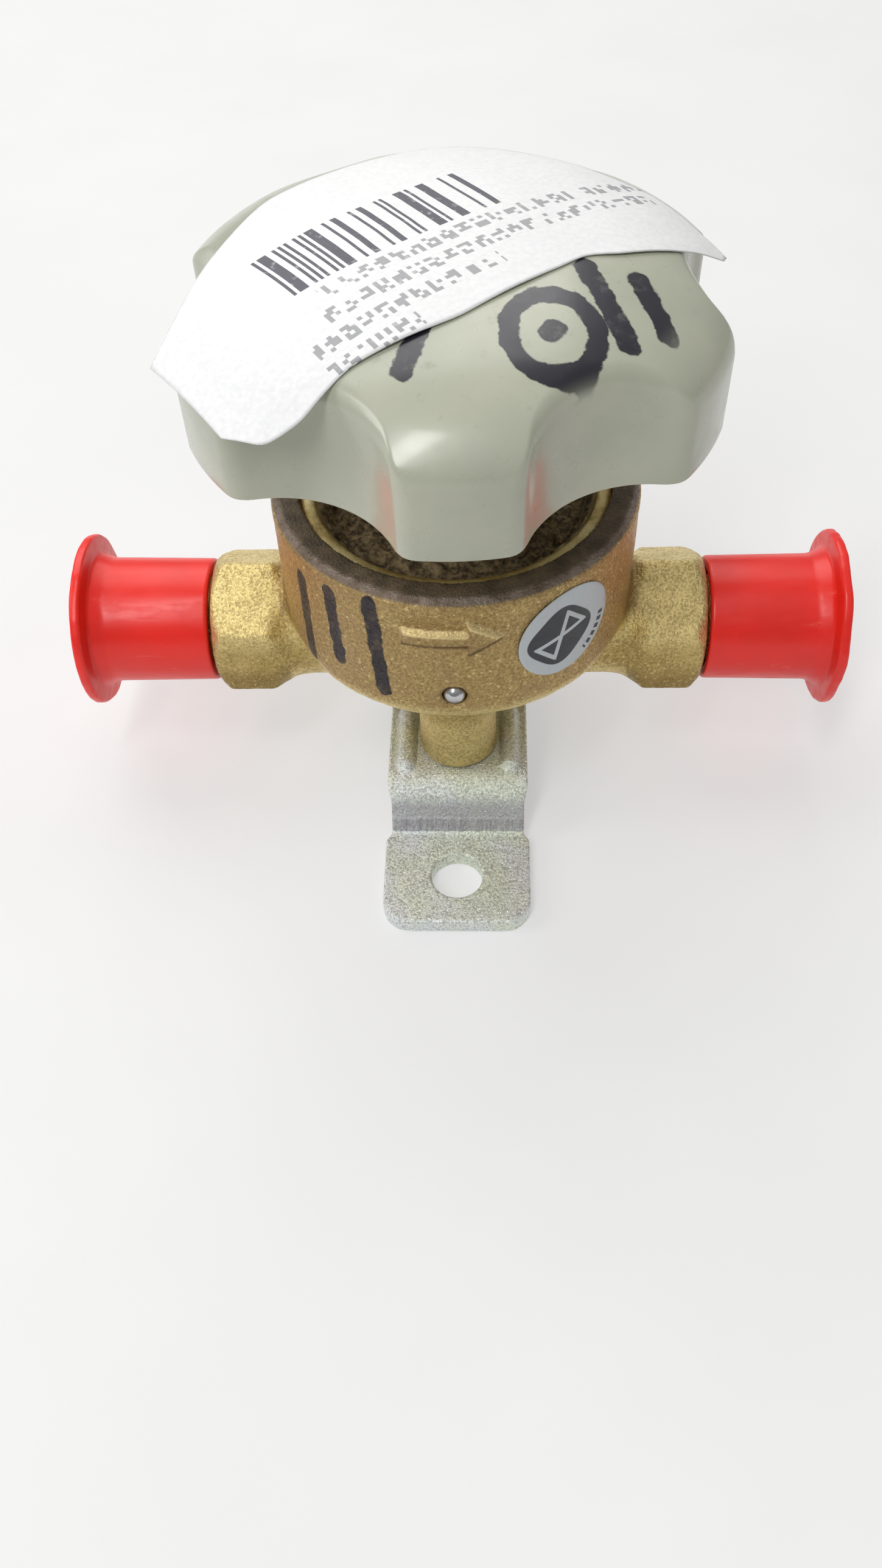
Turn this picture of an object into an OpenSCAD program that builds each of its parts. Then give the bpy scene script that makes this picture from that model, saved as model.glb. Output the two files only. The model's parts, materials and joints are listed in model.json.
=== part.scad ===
// Small diaphragm valve with flare ends, a six-lobed knob, a foot bracket and two transit caps.
// Millimetres. The origin lies under the valve's axis, in the plane that the bracket's feet stand on.
// +Z runs up the spindle, +X is the way the flow arrow points, and -Y is the side with the arrow.
// The valve is drawn shut.

/* [Bowl] */
// Outer radius of the bowl
bowl_r = 18.8; // [17.5:0.1:22.6]
// Height of the port axis above the bracket's raised middle
port_rise = 8.7; // [8:0.1:10.5]
// Depth of the bowl's underside below the port axis
bowl_drop = 6.5; // [5.5:0.1:7]
// Height of the straight wall's lower end above the port axis
bowl_turn_rise = 5.6; // [4.6:0.1:6.7]
// Radius of the corner between the wall and the underside
bowl_corner = 3; // [2.4:0.1:3.6]
// Depth of the bonnet's socket, from the rim to the diaphragms' shelf
socket_depth = 9.3; // [7.8:0.1:11.2]
// Chamfer around the top of the rim
rim_chamfer = 0.8; // [0.2:0.1:1.2]
// Radius of the bonnet's thread
bonnet_thread_r = 15.9; // [14.2:0.1:16.6]

/* [Ports] */
// Radius of the drilled ports
port_bore_r = 2.3; // [1.5:0.1:2.8]
// Width across flats of the hexagonal bosses
boss_flats = 14.5; // [12:0.1:17.4]
// Length of the neck between the bowl's wall and a boss
neck_length = 0.2; // [0.1:0.1:4]
// Radius of the neck
neck_r = 6.3; // [5.2:0.1:7.6]
// Length of a boss
boss_length = 8.1; // [6.7:0.1:9.8]
// Radius over the flare thread
flare_thread_r = 5.55; // [4.6:0.05:6.7]
// Length of the flare nipple beyond the boss
flare_length = 13; // [10.8:0.1:16]

/* [Seat] */
// Radius of the chamber under the diaphragms
chamber_r = 12; // [10:0.1:14.4]
// Wall between the ports and the chamber's floor
floor_wall = 1.6; // [1.2:0.1:2.4]
// Height of the seat above the chamber's floor
seat_h = 2.4; // [2:0.1:3]
// Outer radius of the seat's tube
seat_r = 4.4; // [3.6:0.1:5.3]
// Thickness of the nylon seal
seal_h = 1.2; // [0.9:0.1:1.6]
// Thickness of the valve plate
plate_h = 0.8; // [0.6:0.05:1.2]

/* [Diaphragms] */
// Thickness of one ply
ply = 0.15; // [0.1:0.01:0.2]
// Depth that the middle is pushed down when the valve is shut
dish_depth = 1.8; // [1.4:0.1:2.2]
// Radius of the flat middle
dish_flat_r = 4.5; // [3.7:0.1:6]
// Height of the ring that clamps the rim
clamp_ring_h = 1.3; // [0.8:0.1:2]

/* [Bonnet and spindle] */
// Depth of the bonnet's outer edge below the body's rim
bonnet_sunk = 0.8; // [0.3:0.1:2]
// Width across flats of the bonnet's spanner hexagon
bonnet_flats = 17; // [16.2:0.1:20.4]
// Wall around the gland at the top of the bonnet's neck
gland_wall = 1.05; // [0.8:0.05:1.4]
// Radius of the spindle
spindle_r = 5; // [4.1:0.1:6]
// Radius of the spindle's drive end
drive_r = 4; // [3.2:0.1:4]
// Length of the spindle's drive end
drive_length = 9.6; // [8:0.1:10]

/* [Knob] */
// Gap between the body's rim and the knob's lower edge
knob_gap = 10.9; // [10.4:0.1:14]
// Radius over the lobes
knob_r = 25.6; // [21.3:0.1:31]
// Height of the lobes' straight wall
knob_wall_h = 7.3; // [6:0.1:9]
// Height of the crown above the straight wall
knob_crown_h = 7.3; // [6.8:0.1:9]
// Width of the shoulder between crown and wall
shoulder_w = 4.6; // [3.8:0.1:5.6]
// Drop of the shoulder from the crown's edge to the wall
shoulder_drop = 4.4; // [3.6:0.1:5.3]
// Radius of a finger scallop
scallop_r = 11.4; // [9.5:0.1:13.7]
// Depth of a finger scallop
scallop_depth = 4.7; // [3.9:0.1:5.7]
// Turn of the knob with the valve shut, in degrees
knob_turn = 2.6; // [-30:0.1:30]
// Wall of the knob
knob_wall = 2.6; // [2.1:0.1:3.2]

/* [Bracket] */
// Thickness of the bracket's sheet
sheet = 2; // [1.6:0.1:2.4]
// Width of a foot
foot_w = 16; // [14:0.1:20]
// Width of the neck at the bend
neck_w = 14.8; // [12.3:0.1:17.8]
// Width of the raised middle
plateau_w = 15.6; // [14.2:0.1:18.8]
// Distance between the two feet's outer ends
foot_span = 64; // [60:0.5:78]
// Distance between the two fixing holes
hole_spacing = 52; // [49:0.5:58]
// Radius of a fixing hole
hole_r = 2.75; // [2:0.05:3.4]
// Height of the top of the raised middle
plateau_z = 7; // [5.8:0.1:8.4]
// Distance between a lug's axis and the edge of the raised middle
plateau_edge = 6.3; // [5.2:0.1:7.6]
// Distance that the step from the raised middle to a foot takes
step_run = 3; // [2.5:0.1:3.6]
// Distance from the valve's axis to a mounting lug
lug_y = 10.8; // [9:0.1:13]
// Radius of a mounting lug
lug_r = 4.35; // [3.6:0.05:4.6]

/* [Transit caps] */
// Radius of a cap's flange
cap_flange_r = 9.6; // [8:0.1:12]
// Thickness of a cap's closed end
cap_end = 1.2; // [0.8:0.1:2]
// Wall of a cap's tube
cap_wall = 1.25; // [1:0.05:1.6]

/* [Label and sticker] */
// Thickness of the paper label
label_t = 0.3; // [0.2:0.05:0.6]
// Half the sticker's length
sticker_a = 5.5; // [4.5:0.1:6.6]
// Half the sticker's width
sticker_b = 5.2; // [4.3:0.1:6.3]
// Angle of the sticker round from the front, in degrees
sticker_azimuth = 36; // [32:1:45]

/* [Hidden] */
$fn = 96;

// Clearances: between pieces that are held still, that slide, and that turn.
fit_gap = 0.02;
slide_gap = 0.3;
turn_gap = 0.05;
over = 1;              // how far a cut runs past the face it opens

brass = [0.62, 0.50, 0.28];
brass_bright = [0.80, 0.68, 0.38];
steel = [0.72, 0.72, 0.74];
zinc = [0.78, 0.78, 0.72];
rubber = [0.10, 0.10, 0.10];
nylon = [0.93, 0.92, 0.86];
knob_grey = [0.65, 0.66, 0.59];
cap_red = [0.88, 0.18, 0.16];
paper = [0.96, 0.96, 0.95];
sticker_grey = [0.80, 0.82, 0.83];

// Heights from the bracket up to the diaphragms' shelf
port_z = plateau_z + port_rise;
bowl_bottom_z = port_z - bowl_drop;
bowl_turn_z = port_z + bowl_turn_rise;
chamber_floor_z = port_z + port_bore_r + floor_wall;
seat_z = chamber_floor_z + seat_h;
plate_z = seat_z + seal_h + 0.2;
pad_h = 0.5;
middle_z = plate_z + plate_h + pad_h;
shelf_z = middle_z + dish_depth;
rim_z = shelf_z + socket_depth;

// The bosses and the bracket's edges
boss_in_x = bowl_r + neck_length;
boss_out_x = boss_in_x + boss_length;
plateau_y = lug_y + plateau_edge;
bend_y = plateau_y + step_run;

// Heights of the stack inside the bonnet, from the shelf up
stack_z = shelf_z + 3 * ply;
clamp_top_z = stack_z + clamp_ring_h;
button_z = stack_z - dish_depth;
button_r = dish_flat_r - 0.3;
button_top_z = button_z + 2.25;
ball_r = 1.5;
spindle_low_z = button_top_z + 1;
bonnet_recess_r = chamber_r - 0.5;
bonnet_recess_z = clamp_top_z + 1.3;
dish_floor_z = bonnet_recess_z + 1.9;
bonnet_edge_z = rim_z - bonnet_sunk;
knob_z = rim_z + knob_gap;
bonnet_top_z = knob_z - 1.5;
hex_top_z = rim_z + 2.4;

// The gland in the top of the bonnet's neck
gland_r = spindle_r + 1.55;
gland_z = bonnet_top_z - 3.7;
oring_r = (gland_r - spindle_r - turn_gap) / 2;
washer_z = gland_z + 2 * oring_r;
washer_h = 1;
snap_z = washer_z + washer_h;
snap_h = 0.7;
snap_r = gland_r + 0.4;
bonnet_neck_r = snap_r + gland_wall;

// The drive end inside the knob
shoulder_z = knob_z + 0.5;
spindle_top_z = shoulder_z + drive_length;
insert_r = drive_r + 2.4;
hub_r = insert_r + 2.1;
insert_top_z = spindle_top_z + 0.2;
clip_z = insert_top_z - 3.4;
clip_h = 0.7;
drive_flat = 0.8 * drive_r;

// The valve plate and what it carries
plate_r = chamber_r - slide_gap;
seal_r = seat_r - 0.4;
cup_r = seal_r + 1;
spring_wire_r = 0.35;
spring_r = cup_r + 1.2;
spring_turns = 3.5;
outlet_r = 1.7;
outlet_x = seat_r + outlet_r + 2.1;

// The knob's crown
knob_top_z = knob_z + knob_wall_h + knob_crown_h;
crown_r = knob_r - shoulder_w;
crown_edge_z = knob_z + knob_wall_h + shoulder_drop;
scallop_c = knob_r - scallop_depth + scallop_r;
lobes = 6;

// The flare nipple and its cap
flare_end_x = boss_out_x + flare_length;
cap_r = flare_thread_r + turn_gap;
cap_in_x = boss_out_x + 0.3;
cap_bottom_x = flare_end_x + 0.4;
cap_out_x = cap_bottom_x + cap_end;

screw_r = 1.5;
screw_head_r = 2.9;
screw_length = 7;
plug_z = seat_z + 0.9;
plug_r = 1.2;
plug_out = 0.3;         // how far the ball stands out of the wall
arrow_z = rim_z - 4.5;
arrow_length = 10.2;
arrow_raise = 0.6;
sticker_z = rim_z - 7;
sticker_t = 0.15;
sticker_tilt = 44;

label_gap = 0.05;       // height that the label lies over the crown

function arc(cx, cy, rx, ry, from, to, n) =
  [for (i = [0:n]) let (a = from + (to - from) * i / n) [cx + rx * cos(a), cy + ry * sin(a)]];

function crown_z(r) = knob_top_z - (knob_top_z - crown_edge_z) * pow(r / crown_r, 2);
// Turned profile of the crown, raised by lift and grown by grow, from the axis to an angle of the shoulder
function crown(lift, grow, end) = concat(
  [[0, crown_z(crown_r / 10) + lift]],
  [for (i = [1:10]) let (r = crown_r * i / 10) [r, crown_z(r) + lift]],
  arc(crown_r, crown_edge_z - shoulder_drop, shoulder_w + grow, shoulder_drop + lift, 82, end, 10)
);

// ---------- body ----------

module along_x(from, to) {
  translate([from, 0, port_z]) rotate([0, 90, 0]) linear_extrude(to - from) children();
}

module bowl_solid() {
  turn = 50;
  corner = arc(bowl_r - bowl_corner, bowl_turn_z, bowl_corner, bowl_corner, -turn, 0, 8);
  bottom_r = corner[0][0] - (corner[0][1] - bowl_bottom_z) * tan(turn);
  rotate_extrude() polygon(concat(
    [[0, bowl_bottom_z], [bottom_r, bowl_bottom_z]], corner,
    [[bowl_r, rim_z - rim_chamfer], [bowl_r - rim_chamfer, rim_z], [0, rim_z]]
  ));
}

// One hexagonal boss with its neck and flare nipple, on the +X side
module port_solid() {
  along_x(0, boss_in_x + over) circle(neck_r);
  intersection() {
    along_x(boss_in_x, boss_out_x) circle(boss_flats / sqrt(3), $fn = 6);
    translate([0, 0, port_z]) rotate([0, 90, 0]) rotate_extrude() polygon([
      [0, boss_in_x], [boss_flats / 2 - 0.4, boss_in_x], [boss_flats / 2 + 1.05, boss_in_x + 1.35],
      [boss_flats / 2 + 1.05, boss_out_x - 1.35], [boss_flats / 2 - 0.4, boss_out_x], [0, boss_out_x]
    ]);
  }
  translate([0, 0, port_z]) rotate([0, 90, 0]) rotate_extrude() polygon([
    [0, boss_out_x - over], [flare_thread_r - 0.9, boss_out_x - over], [flare_thread_r - 0.9, boss_out_x + 0.9],
    [flare_thread_r, boss_out_x + 1.6], [flare_thread_r, flare_end_x - 2.2],
    [flare_thread_r - 2.2, flare_end_x], [0, flare_end_x]
  ]);
}

module ring_cut(r, from, to) {
  translate([0, 0, from]) cylinder(r = r, h = to - from);
}

module body_bores() {
  ring_cut(bonnet_thread_r + fit_gap, shelf_z, rim_z + over);
  difference() {
    ring_cut(chamber_r, chamber_floor_z, shelf_z + over);
    ring_cut(seat_r, chamber_floor_z - over, seat_z);
  }
  ring_cut(port_bore_r, port_z, seat_z + over);
  along_x(-flare_end_x - over, 0.8 * port_bore_r) circle(port_bore_r);
  along_x(outlet_x - 0.8 * outlet_r, flare_end_x + over) circle(port_bore_r);
  translate([outlet_x, 0, 0]) ring_cut(outlet_r, port_z, chamber_floor_z + over);
  translate([0, 0, plug_z]) rotate([90, 0, 0]) {
    cylinder(r = plug_r + fit_gap, h = bowl_r + over);
  }
}

// The drilled passage behind the plug narrows, so the plug stops on a step
module plug_step() {
  translate([0, 0, plug_z]) rotate([90, 0, 0]) difference() {
    translate([0, 0, chamber_r - over]) cylinder(r = plug_r + 0.5, h = bowl_r + plug_out - 2 * plug_r - chamber_r + over);
    cylinder(r = plug_r * 0.7, h = bowl_r);
  }
}

module flow_arrow() {
  half = arrow_length / 2;
  intersection() {
    translate([0, 0, arrow_z]) rotate([90, 0, 0]) linear_extrude(bowl_r + over) polygon([
      [-half, -0.8], [half - 3.6, -0.8], [half - 3.6, -1.9], [half, 0],
      [half - 3.6, 1.9], [half - 3.6, 0.8], [-half, 0.8]
    ]);
    difference() {
      ring_cut(bowl_r + arrow_raise, arrow_z - 4, arrow_z + 4);
      ring_cut(bowl_r - 0.5, arrow_z - 4 - over, arrow_z + 4 + over);
    }
  }
}

module body() {
  color(brass) difference() {
    union() {
      difference() {
        union() {
          bowl_solid();
          for (turn = [0, 180]) rotate(turn) port_solid();
          for (side = [-1, 1]) translate([0, side * lug_y, plateau_z])
            cylinder(r = lug_r, h = bowl_turn_z - plateau_z - over);
        }
        body_bores();
      }
      difference() {
        plug_step();
        ring_cut(chamber_r, chamber_floor_z - over, shelf_z);
      }
      flow_arrow();
    }
    for (side = [-1, 1]) translate([0, side * lug_y, plateau_z - over])
      cylinder(r = screw_r + fit_gap, h = screw_length);
  }
}

module plug_ball() {
  color(steel) translate([0, plug_r - plug_out - bowl_r, plug_z]) sphere(plug_r);
}

// ---------- diaphragms and bonnet ----------

// One dished ply, counted from the lowest
module diaphragm(i) {
  low = shelf_z + i * ply;
  color(steel) rotate_extrude() polygon([
    [0, low - dish_depth], [dish_flat_r, low - dish_depth], [chamber_r - 0.6, low],
    [bonnet_thread_r - 0.3, low], [bonnet_thread_r - 0.3, low + ply], [chamber_r - 0.6, low + ply],
    [dish_flat_r, low + ply - dish_depth], [0, low + ply - dish_depth]
  ]);
}

module clamp_ring() {
  color(brass_bright) difference() {
    ring_cut(bonnet_thread_r - 0.3, stack_z, clamp_top_z);
    ring_cut(bonnet_recess_r, stack_z - over, clamp_top_z + over);
  }
}

module bonnet() {
  color(brass) difference() {
    union() {
      rotate_extrude() polygon([
        [0, clamp_top_z], [bonnet_thread_r, clamp_top_z], [bonnet_thread_r, bonnet_edge_z - 0.3],
        [bonnet_thread_r - 0.3, bonnet_edge_z], [bonnet_thread_r - 1.3, bonnet_edge_z],
        [bonnet_thread_r - 3.4, dish_floor_z], [0, dish_floor_z]
      ]);
      translate([0, 0, clamp_top_z]) cylinder(r = bonnet_flats / sqrt(3), h = hex_top_z - clamp_top_z, $fn = 6);
      translate([0, 0, clamp_top_z]) cylinder(r = bonnet_neck_r, h = bonnet_top_z - clamp_top_z);
    }
    ring_cut(bonnet_recess_r, clamp_top_z - over, bonnet_recess_z);
    ring_cut(spindle_r + turn_gap, clamp_top_z, bonnet_top_z + over);
    ring_cut(gland_r + fit_gap, gland_z, bonnet_top_z + over);
    ring_cut(snap_r + fit_gap, snap_z, snap_z + snap_h);
  }
}

module spindle_oring() {
  color(rubber) translate([0, 0, gland_z + oring_r])
    rotate_extrude() translate([spindle_r + turn_gap + oring_r, 0]) circle(oring_r, $fn = 32);
}

module gland_washer() {
  color(nylon) difference() {
    ring_cut(gland_r, washer_z, washer_z + washer_h);
    ring_cut(spindle_r + turn_gap, washer_z - over, washer_z + washer_h + over);
  }
}

module gland_snap_ring() {
  color(steel) difference() {
    ring_cut(snap_r, snap_z, snap_z + snap_h);
    ring_cut(snap_r - 1.3, snap_z - over, snap_z + snap_h + over);
    translate([-1.5, 0, snap_z - over]) cube([3, snap_r + over, snap_h + 2 * over]);
  }
}

// ---------- what lifts ----------

module thrust_button() {
  color(steel) difference() {
    ring_cut(button_r, button_z, button_top_z);
    translate([0, 0, button_top_z]) sphere(ball_r + fit_gap);
  }
}

module thrust_ball() {
  color(steel) translate([0, 0, button_top_z]) sphere(ball_r);
}

module valve_plate() {
  color(brass_bright) difference() {
    union() {
      ring_cut(plate_r, plate_z, plate_z + plate_h);
      ring_cut(dish_flat_r - 0.3, plate_z, middle_z);
      ring_cut(cup_r, seat_z + 0.6, plate_z + plate_h);
    }
    ring_cut(seal_r + fit_gap, seat_z, seat_z + seal_h);
    ring_cut(0.8 + fit_gap, seat_z, plate_z + 0.6);
    for (a = [0:60:300]) rotate(a) translate([(cup_r + plate_r) / 2, 0, 0])
      ring_cut(1.4, plate_z - over, plate_z + plate_h + over);
  }
}

module seat_seal() {
  color(nylon) difference() {
    ring_cut(seal_r, seat_z, seat_z + seal_h);
    ring_cut(0.8 + fit_gap, seat_z - over, seat_z + seal_h + over);
  }
}

module seal_rivet() {
  color(brass_bright) {
    ring_cut(0.8, seat_z - 0.5, plate_z + 0.5);
    ring_cut(1.4, seat_z - 0.5, seat_z);
  }
}

// The spring's wire: rings of points along a helix whose first and last half turns lie flat
module return_spring() {
  sides = 8;
  steps = 84;
  low = chamber_floor_z + spring_wire_r + fit_gap;
  high = plate_z - spring_wire_r - fit_gap;
  rise = high - low;
  wire = [for (i = [0:steps]) let (
      turn = spring_turns * i / steps,
      share = min(1, max(0, (turn - 0.5) / (spring_turns - 1))),
      a = 360 * turn)
    for (k = [0:sides - 1]) let (b = 360 * k / sides, r = spring_r + spring_wire_r * cos(b))
      [r * cos(a), r * sin(a), low + rise * share + spring_wire_r * sin(b)]];
  skin = [for (i = [0:steps - 1], k = [0:sides - 1]) let (n = (k + 1) % sides)
    [i * sides + k, i * sides + n, (i + 1) * sides + n, (i + 1) * sides + k]];
  ends = [[for (k = [sides - 1:-1:0]) k], [for (k = [0:sides - 1]) steps * sides + k]];
  color(steel) polyhedron(wire, concat(skin, ends));
}

// ---------- spindle and knob ----------

module drive_section(r, flat) {
  difference() {
    circle(r);
    translate([flat, -r - over]) square([r + over, 2 * (r + over)]);
  }
}

module spindle() {
  color(steel) difference() {
    union() {
      ring_cut(spindle_r, spindle_low_z, shoulder_z);
      translate([0, 0, shoulder_z]) linear_extrude(spindle_top_z - shoulder_z) drive_section(drive_r, drive_flat);
    }
    ring_cut(2, spindle_low_z - over, button_top_z + ball_r + fit_gap);
    difference() {
      ring_cut(drive_r + over, clip_z, clip_z + clip_h);
      ring_cut(drive_r - 0.5, clip_z - over, clip_z + clip_h + over);
    }
  }
}

module knob_insert() {
  color(brass_bright) difference() {
    union() {
      ring_cut(insert_r, shoulder_z, insert_top_z);
      ring_cut(insert_r + 0.8, shoulder_z + 3, shoulder_z + 5);
    }
    translate([0, 0, shoulder_z - over]) linear_extrude(spindle_top_z - shoulder_z + 3 * over)
      drive_section(drive_r + fit_gap, drive_flat + fit_gap);
    ring_cut(drive_r + 0.7, clip_z, clip_z + clip_h);
  }
}

module knob_clip() {
  color(steel) difference() {
    ring_cut(drive_r + 0.6, clip_z + fit_gap, clip_z + clip_h - fit_gap);
    ring_cut(drive_r - 0.45, clip_z - over, clip_z + clip_h + over);
    translate([-drive_r - 2, -1, clip_z - over]) cube([4, 2, clip_h + 2 * over]);
  }
}

// Outline of the knob, inset by wall
module knob_outline(wall) {
  difference() {
    circle(knob_r - wall);
    for (i = [0:lobes - 1]) rotate(i * 360 / lobes) translate([scallop_c, 0]) circle(scallop_r + wall);
  }
}

module knob() {
  color(knob_grey) rotate(knob_turn) difference() {
    intersection() {
      translate([0, 0, knob_z]) linear_extrude(knob_wall_h + knob_crown_h + over) knob_outline(0);
      rotate_extrude() polygon(concat([[0, knob_z]], crown(0, 0, 0), [[knob_r, knob_z]]));
    }
    difference() {
      translate([0, 0, knob_z - over]) linear_extrude(knob_wall_h + over) knob_outline(knob_wall);
      ring_cut(hub_r, shoulder_z, knob_z + knob_wall_h + over);
      for (i = [0:lobes - 1]) rotate((i + 0.5) * 360 / lobes)
        translate([hub_r - 0.5, -0.8, knob_z + 2]) cube([knob_r - hub_r - 1, 1.6, knob_wall_h]);
    }
    ring_cut(insert_r + fit_gap, shoulder_z - over, insert_top_z);
    ring_cut(insert_r + 0.8 + fit_gap, shoulder_z + 3, shoulder_z + 5);
  }
}

// ---------- bracket ----------

// Half of the bracket's side profile, from the middle out to the end of one foot
module half_profile() {
  low_z = plateau_z - sheet;
  slope = atan2(low_z, bend_y - plateau_y);
  inset = sheet * tan(slope / 2);
  polygon([
    [0, low_z], [plateau_y - inset, low_z], [bend_y - inset, 0], [foot_span / 2, 0],
    [foot_span / 2, sheet], [bend_y, sheet], [plateau_y, plateau_z], [0, plateau_z]
  ]);
}

// Half of the bracket's outline seen from above
module half_outline() {
  corner = 3;
  end = foot_span / 2;
  hull() for (side = [-1, 1]) {
    translate([side * (foot_w / 2 - corner), end - corner]) circle(corner, $fn = 32);
    translate([side * (foot_w - 1) / 2, bend_y + 1]) square(1, center = true);
  }
  translate([-neck_w / 2, 0]) square([neck_w, bend_y + 2]);
  translate([-plateau_w / 2, 0]) square([plateau_w, plateau_y]);
}

// The rounded rib beside a lug
module rib(x, y) {
  rib_r = 1.15;
  translate([x, y, plateau_z - 0.2]) {
    rotate([90, 0, 0]) cylinder(r = rib_r, h = 7.4, center = true, $fn = 32);
    for (end = [-1, 1]) translate([0, end * 3.7, 0]) sphere(rib_r, $fn = 32);
  }
}

module bracket() {
  color(zinc) difference() {
    union() {
      for (turn = [0, 180]) rotate(turn) {
        intersection() {
          rotate([90, 0, 90]) translate([0, 0, -foot_w]) linear_extrude(2 * foot_w) half_profile();
          linear_extrude(plateau_z + over) half_outline();
        }
        intersection() {
          for (side = [-1, 1]) rib(side * 5.85, lug_y - 0.2);
          translate([-foot_w, 0, plateau_z - sheet]) cube([2 * foot_w, plateau_y, 2 * sheet]);
        }
      }
    }
    for (side = [-1, 1]) {
      translate([0, side * hole_spacing / 2, 0]) ring_cut(hole_r, -over, sheet + over);
      translate([0, side * lug_y, 0]) {
        ring_cut(lug_r + 0.1, plateau_z, plateau_z + 3);
        ring_cut(screw_r + 0.15, 0, plateau_z + over);
        translate([0, 0, plateau_z - sheet])
          cylinder(r1 = screw_head_r + 0.1, r2 = screw_r + 0.1, h = screw_head_r - screw_r);
      }
    }
  }
}

module bracket_screw(y) {
  head_z = plateau_z - sheet;
  color(steel) translate([0, y, 0]) difference() {
    union() {
      translate([0, 0, head_z])
        cylinder(r1 = screw_head_r, r2 = screw_r, h = screw_head_r - screw_r);
      ring_cut(screw_r, head_z + 0.5, plateau_z + screw_length - over - 0.3);
    }
    translate([0, 0, head_z - over]) cylinder(r = 1.2, h = over + 1, $fn = 6);
  }
}

// ---------- transit caps ----------

module transit_cap() {
  color(cap_red) translate([0, 0, port_z]) rotate([0, 90, 0]) rotate_extrude() polygon([
    [0, cap_bottom_x], [cap_r, cap_bottom_x], [cap_r, cap_in_x], [cap_r + cap_wall, cap_in_x],
    [cap_r + cap_wall + 0.3, cap_bottom_x - 0.3], [cap_r + cap_wall + 0.6, cap_bottom_x],
    [cap_flange_r, cap_bottom_x], [cap_flange_r, cap_out_x], [0, cap_out_x]
  ]);
}

// ---------- label and sticker ----------

// The label lies over the crown, and its two ends hang straight past the shoulder
module paper_label() {
  color(paper) intersection() {
    linear_extrude(knob_top_z + 5) polygon([
      [-25.3, -10.5], [-17, 10], [-1, 20.5], [4.5, 18.8], [18.2, 11.5], [24.4, 3], [14.5, -2.5],
      [11, -3], [9.4, -5.2], [1, -12.2], [-7.5, -17], [-11.2, -20.8], [-14.2, -22.2], [-18, -20.4]
    ]);
    difference() {
      label_under(label_gap + label_t, 0);
      label_under(label_gap, over);
    }
  }
}

// Everything under a surface that lies lift above the crown, and past the label's end by past
module label_under(lift, past) {
  from = 30;
  rx = shoulder_w + lift;
  ry = shoulder_drop + lift;
  edge_r = crown_r + rx * cos(from);
  edge_z = crown_edge_z - shoulder_drop + ry * sin(from);
  end_r = knob_r + 2.1 + past;
  end_z = edge_z - (end_r - edge_r) * ry / rx / tan(from);
  rotate_extrude() polygon(concat(
    [[0, knob_z - past]], crown(lift, lift, from), [[end_r, end_z], [end_r, knob_z - past]]
  ));
}

module oval_sticker() {
  color(sticker_grey) rotate(sticker_azimuth) intersection() {
    difference() {
      ring_cut(bowl_r + fit_gap + sticker_t, sticker_z - 8, sticker_z + 8);
      ring_cut(bowl_r + fit_gap, sticker_z - 8 - over, sticker_z + 8 + over);
    }
    translate([0, 0, sticker_z]) rotate([90, sticker_tilt, 0]) linear_extrude(bowl_r + over)
      polygon(arc(0, 0, sticker_b, sticker_a, 0, 352.5, 47));
  }
}

body();
bonnet();
diaphragm(0);  // diaphragm_lower
diaphragm(1);  // diaphragm_middle
diaphragm(2);  // diaphragm_upper
clamp_ring();
thrust_button();
thrust_ball();
spindle();
spindle_oring();
gland_washer();
gland_snap_ring();
valve_plate();
seat_seal();
seal_rivet();
return_spring();
plug_ball();
knob();
knob_insert();
knob_clip();
bracket();
bracket_screw(-lug_y);  // bracket_screw_front
bracket_screw(lug_y);  // bracket_screw_rear
mirror([1, 0, 0]) transit_cap();  // inlet_cap
transit_cap();  // outlet_cap
paper_label();
oval_sticker();
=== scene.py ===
# %% [markdown]
# # A small diaphragm valve
# A forged brass bowl with two hexagonal bosses, a lobed plastic knob over it, a bent sheet foot
# under it, two red transit caps on the flare ends and a paper label lying over the knob.
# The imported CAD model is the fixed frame. It holds the pieces that fit and move, and this
# lesson gives each of them its finish, or a finer mesh that stands for it.

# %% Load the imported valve
import json
import math

import bmesh
import bpy
import numpy as np
from mathutils import Matrix, Vector, noise

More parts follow.
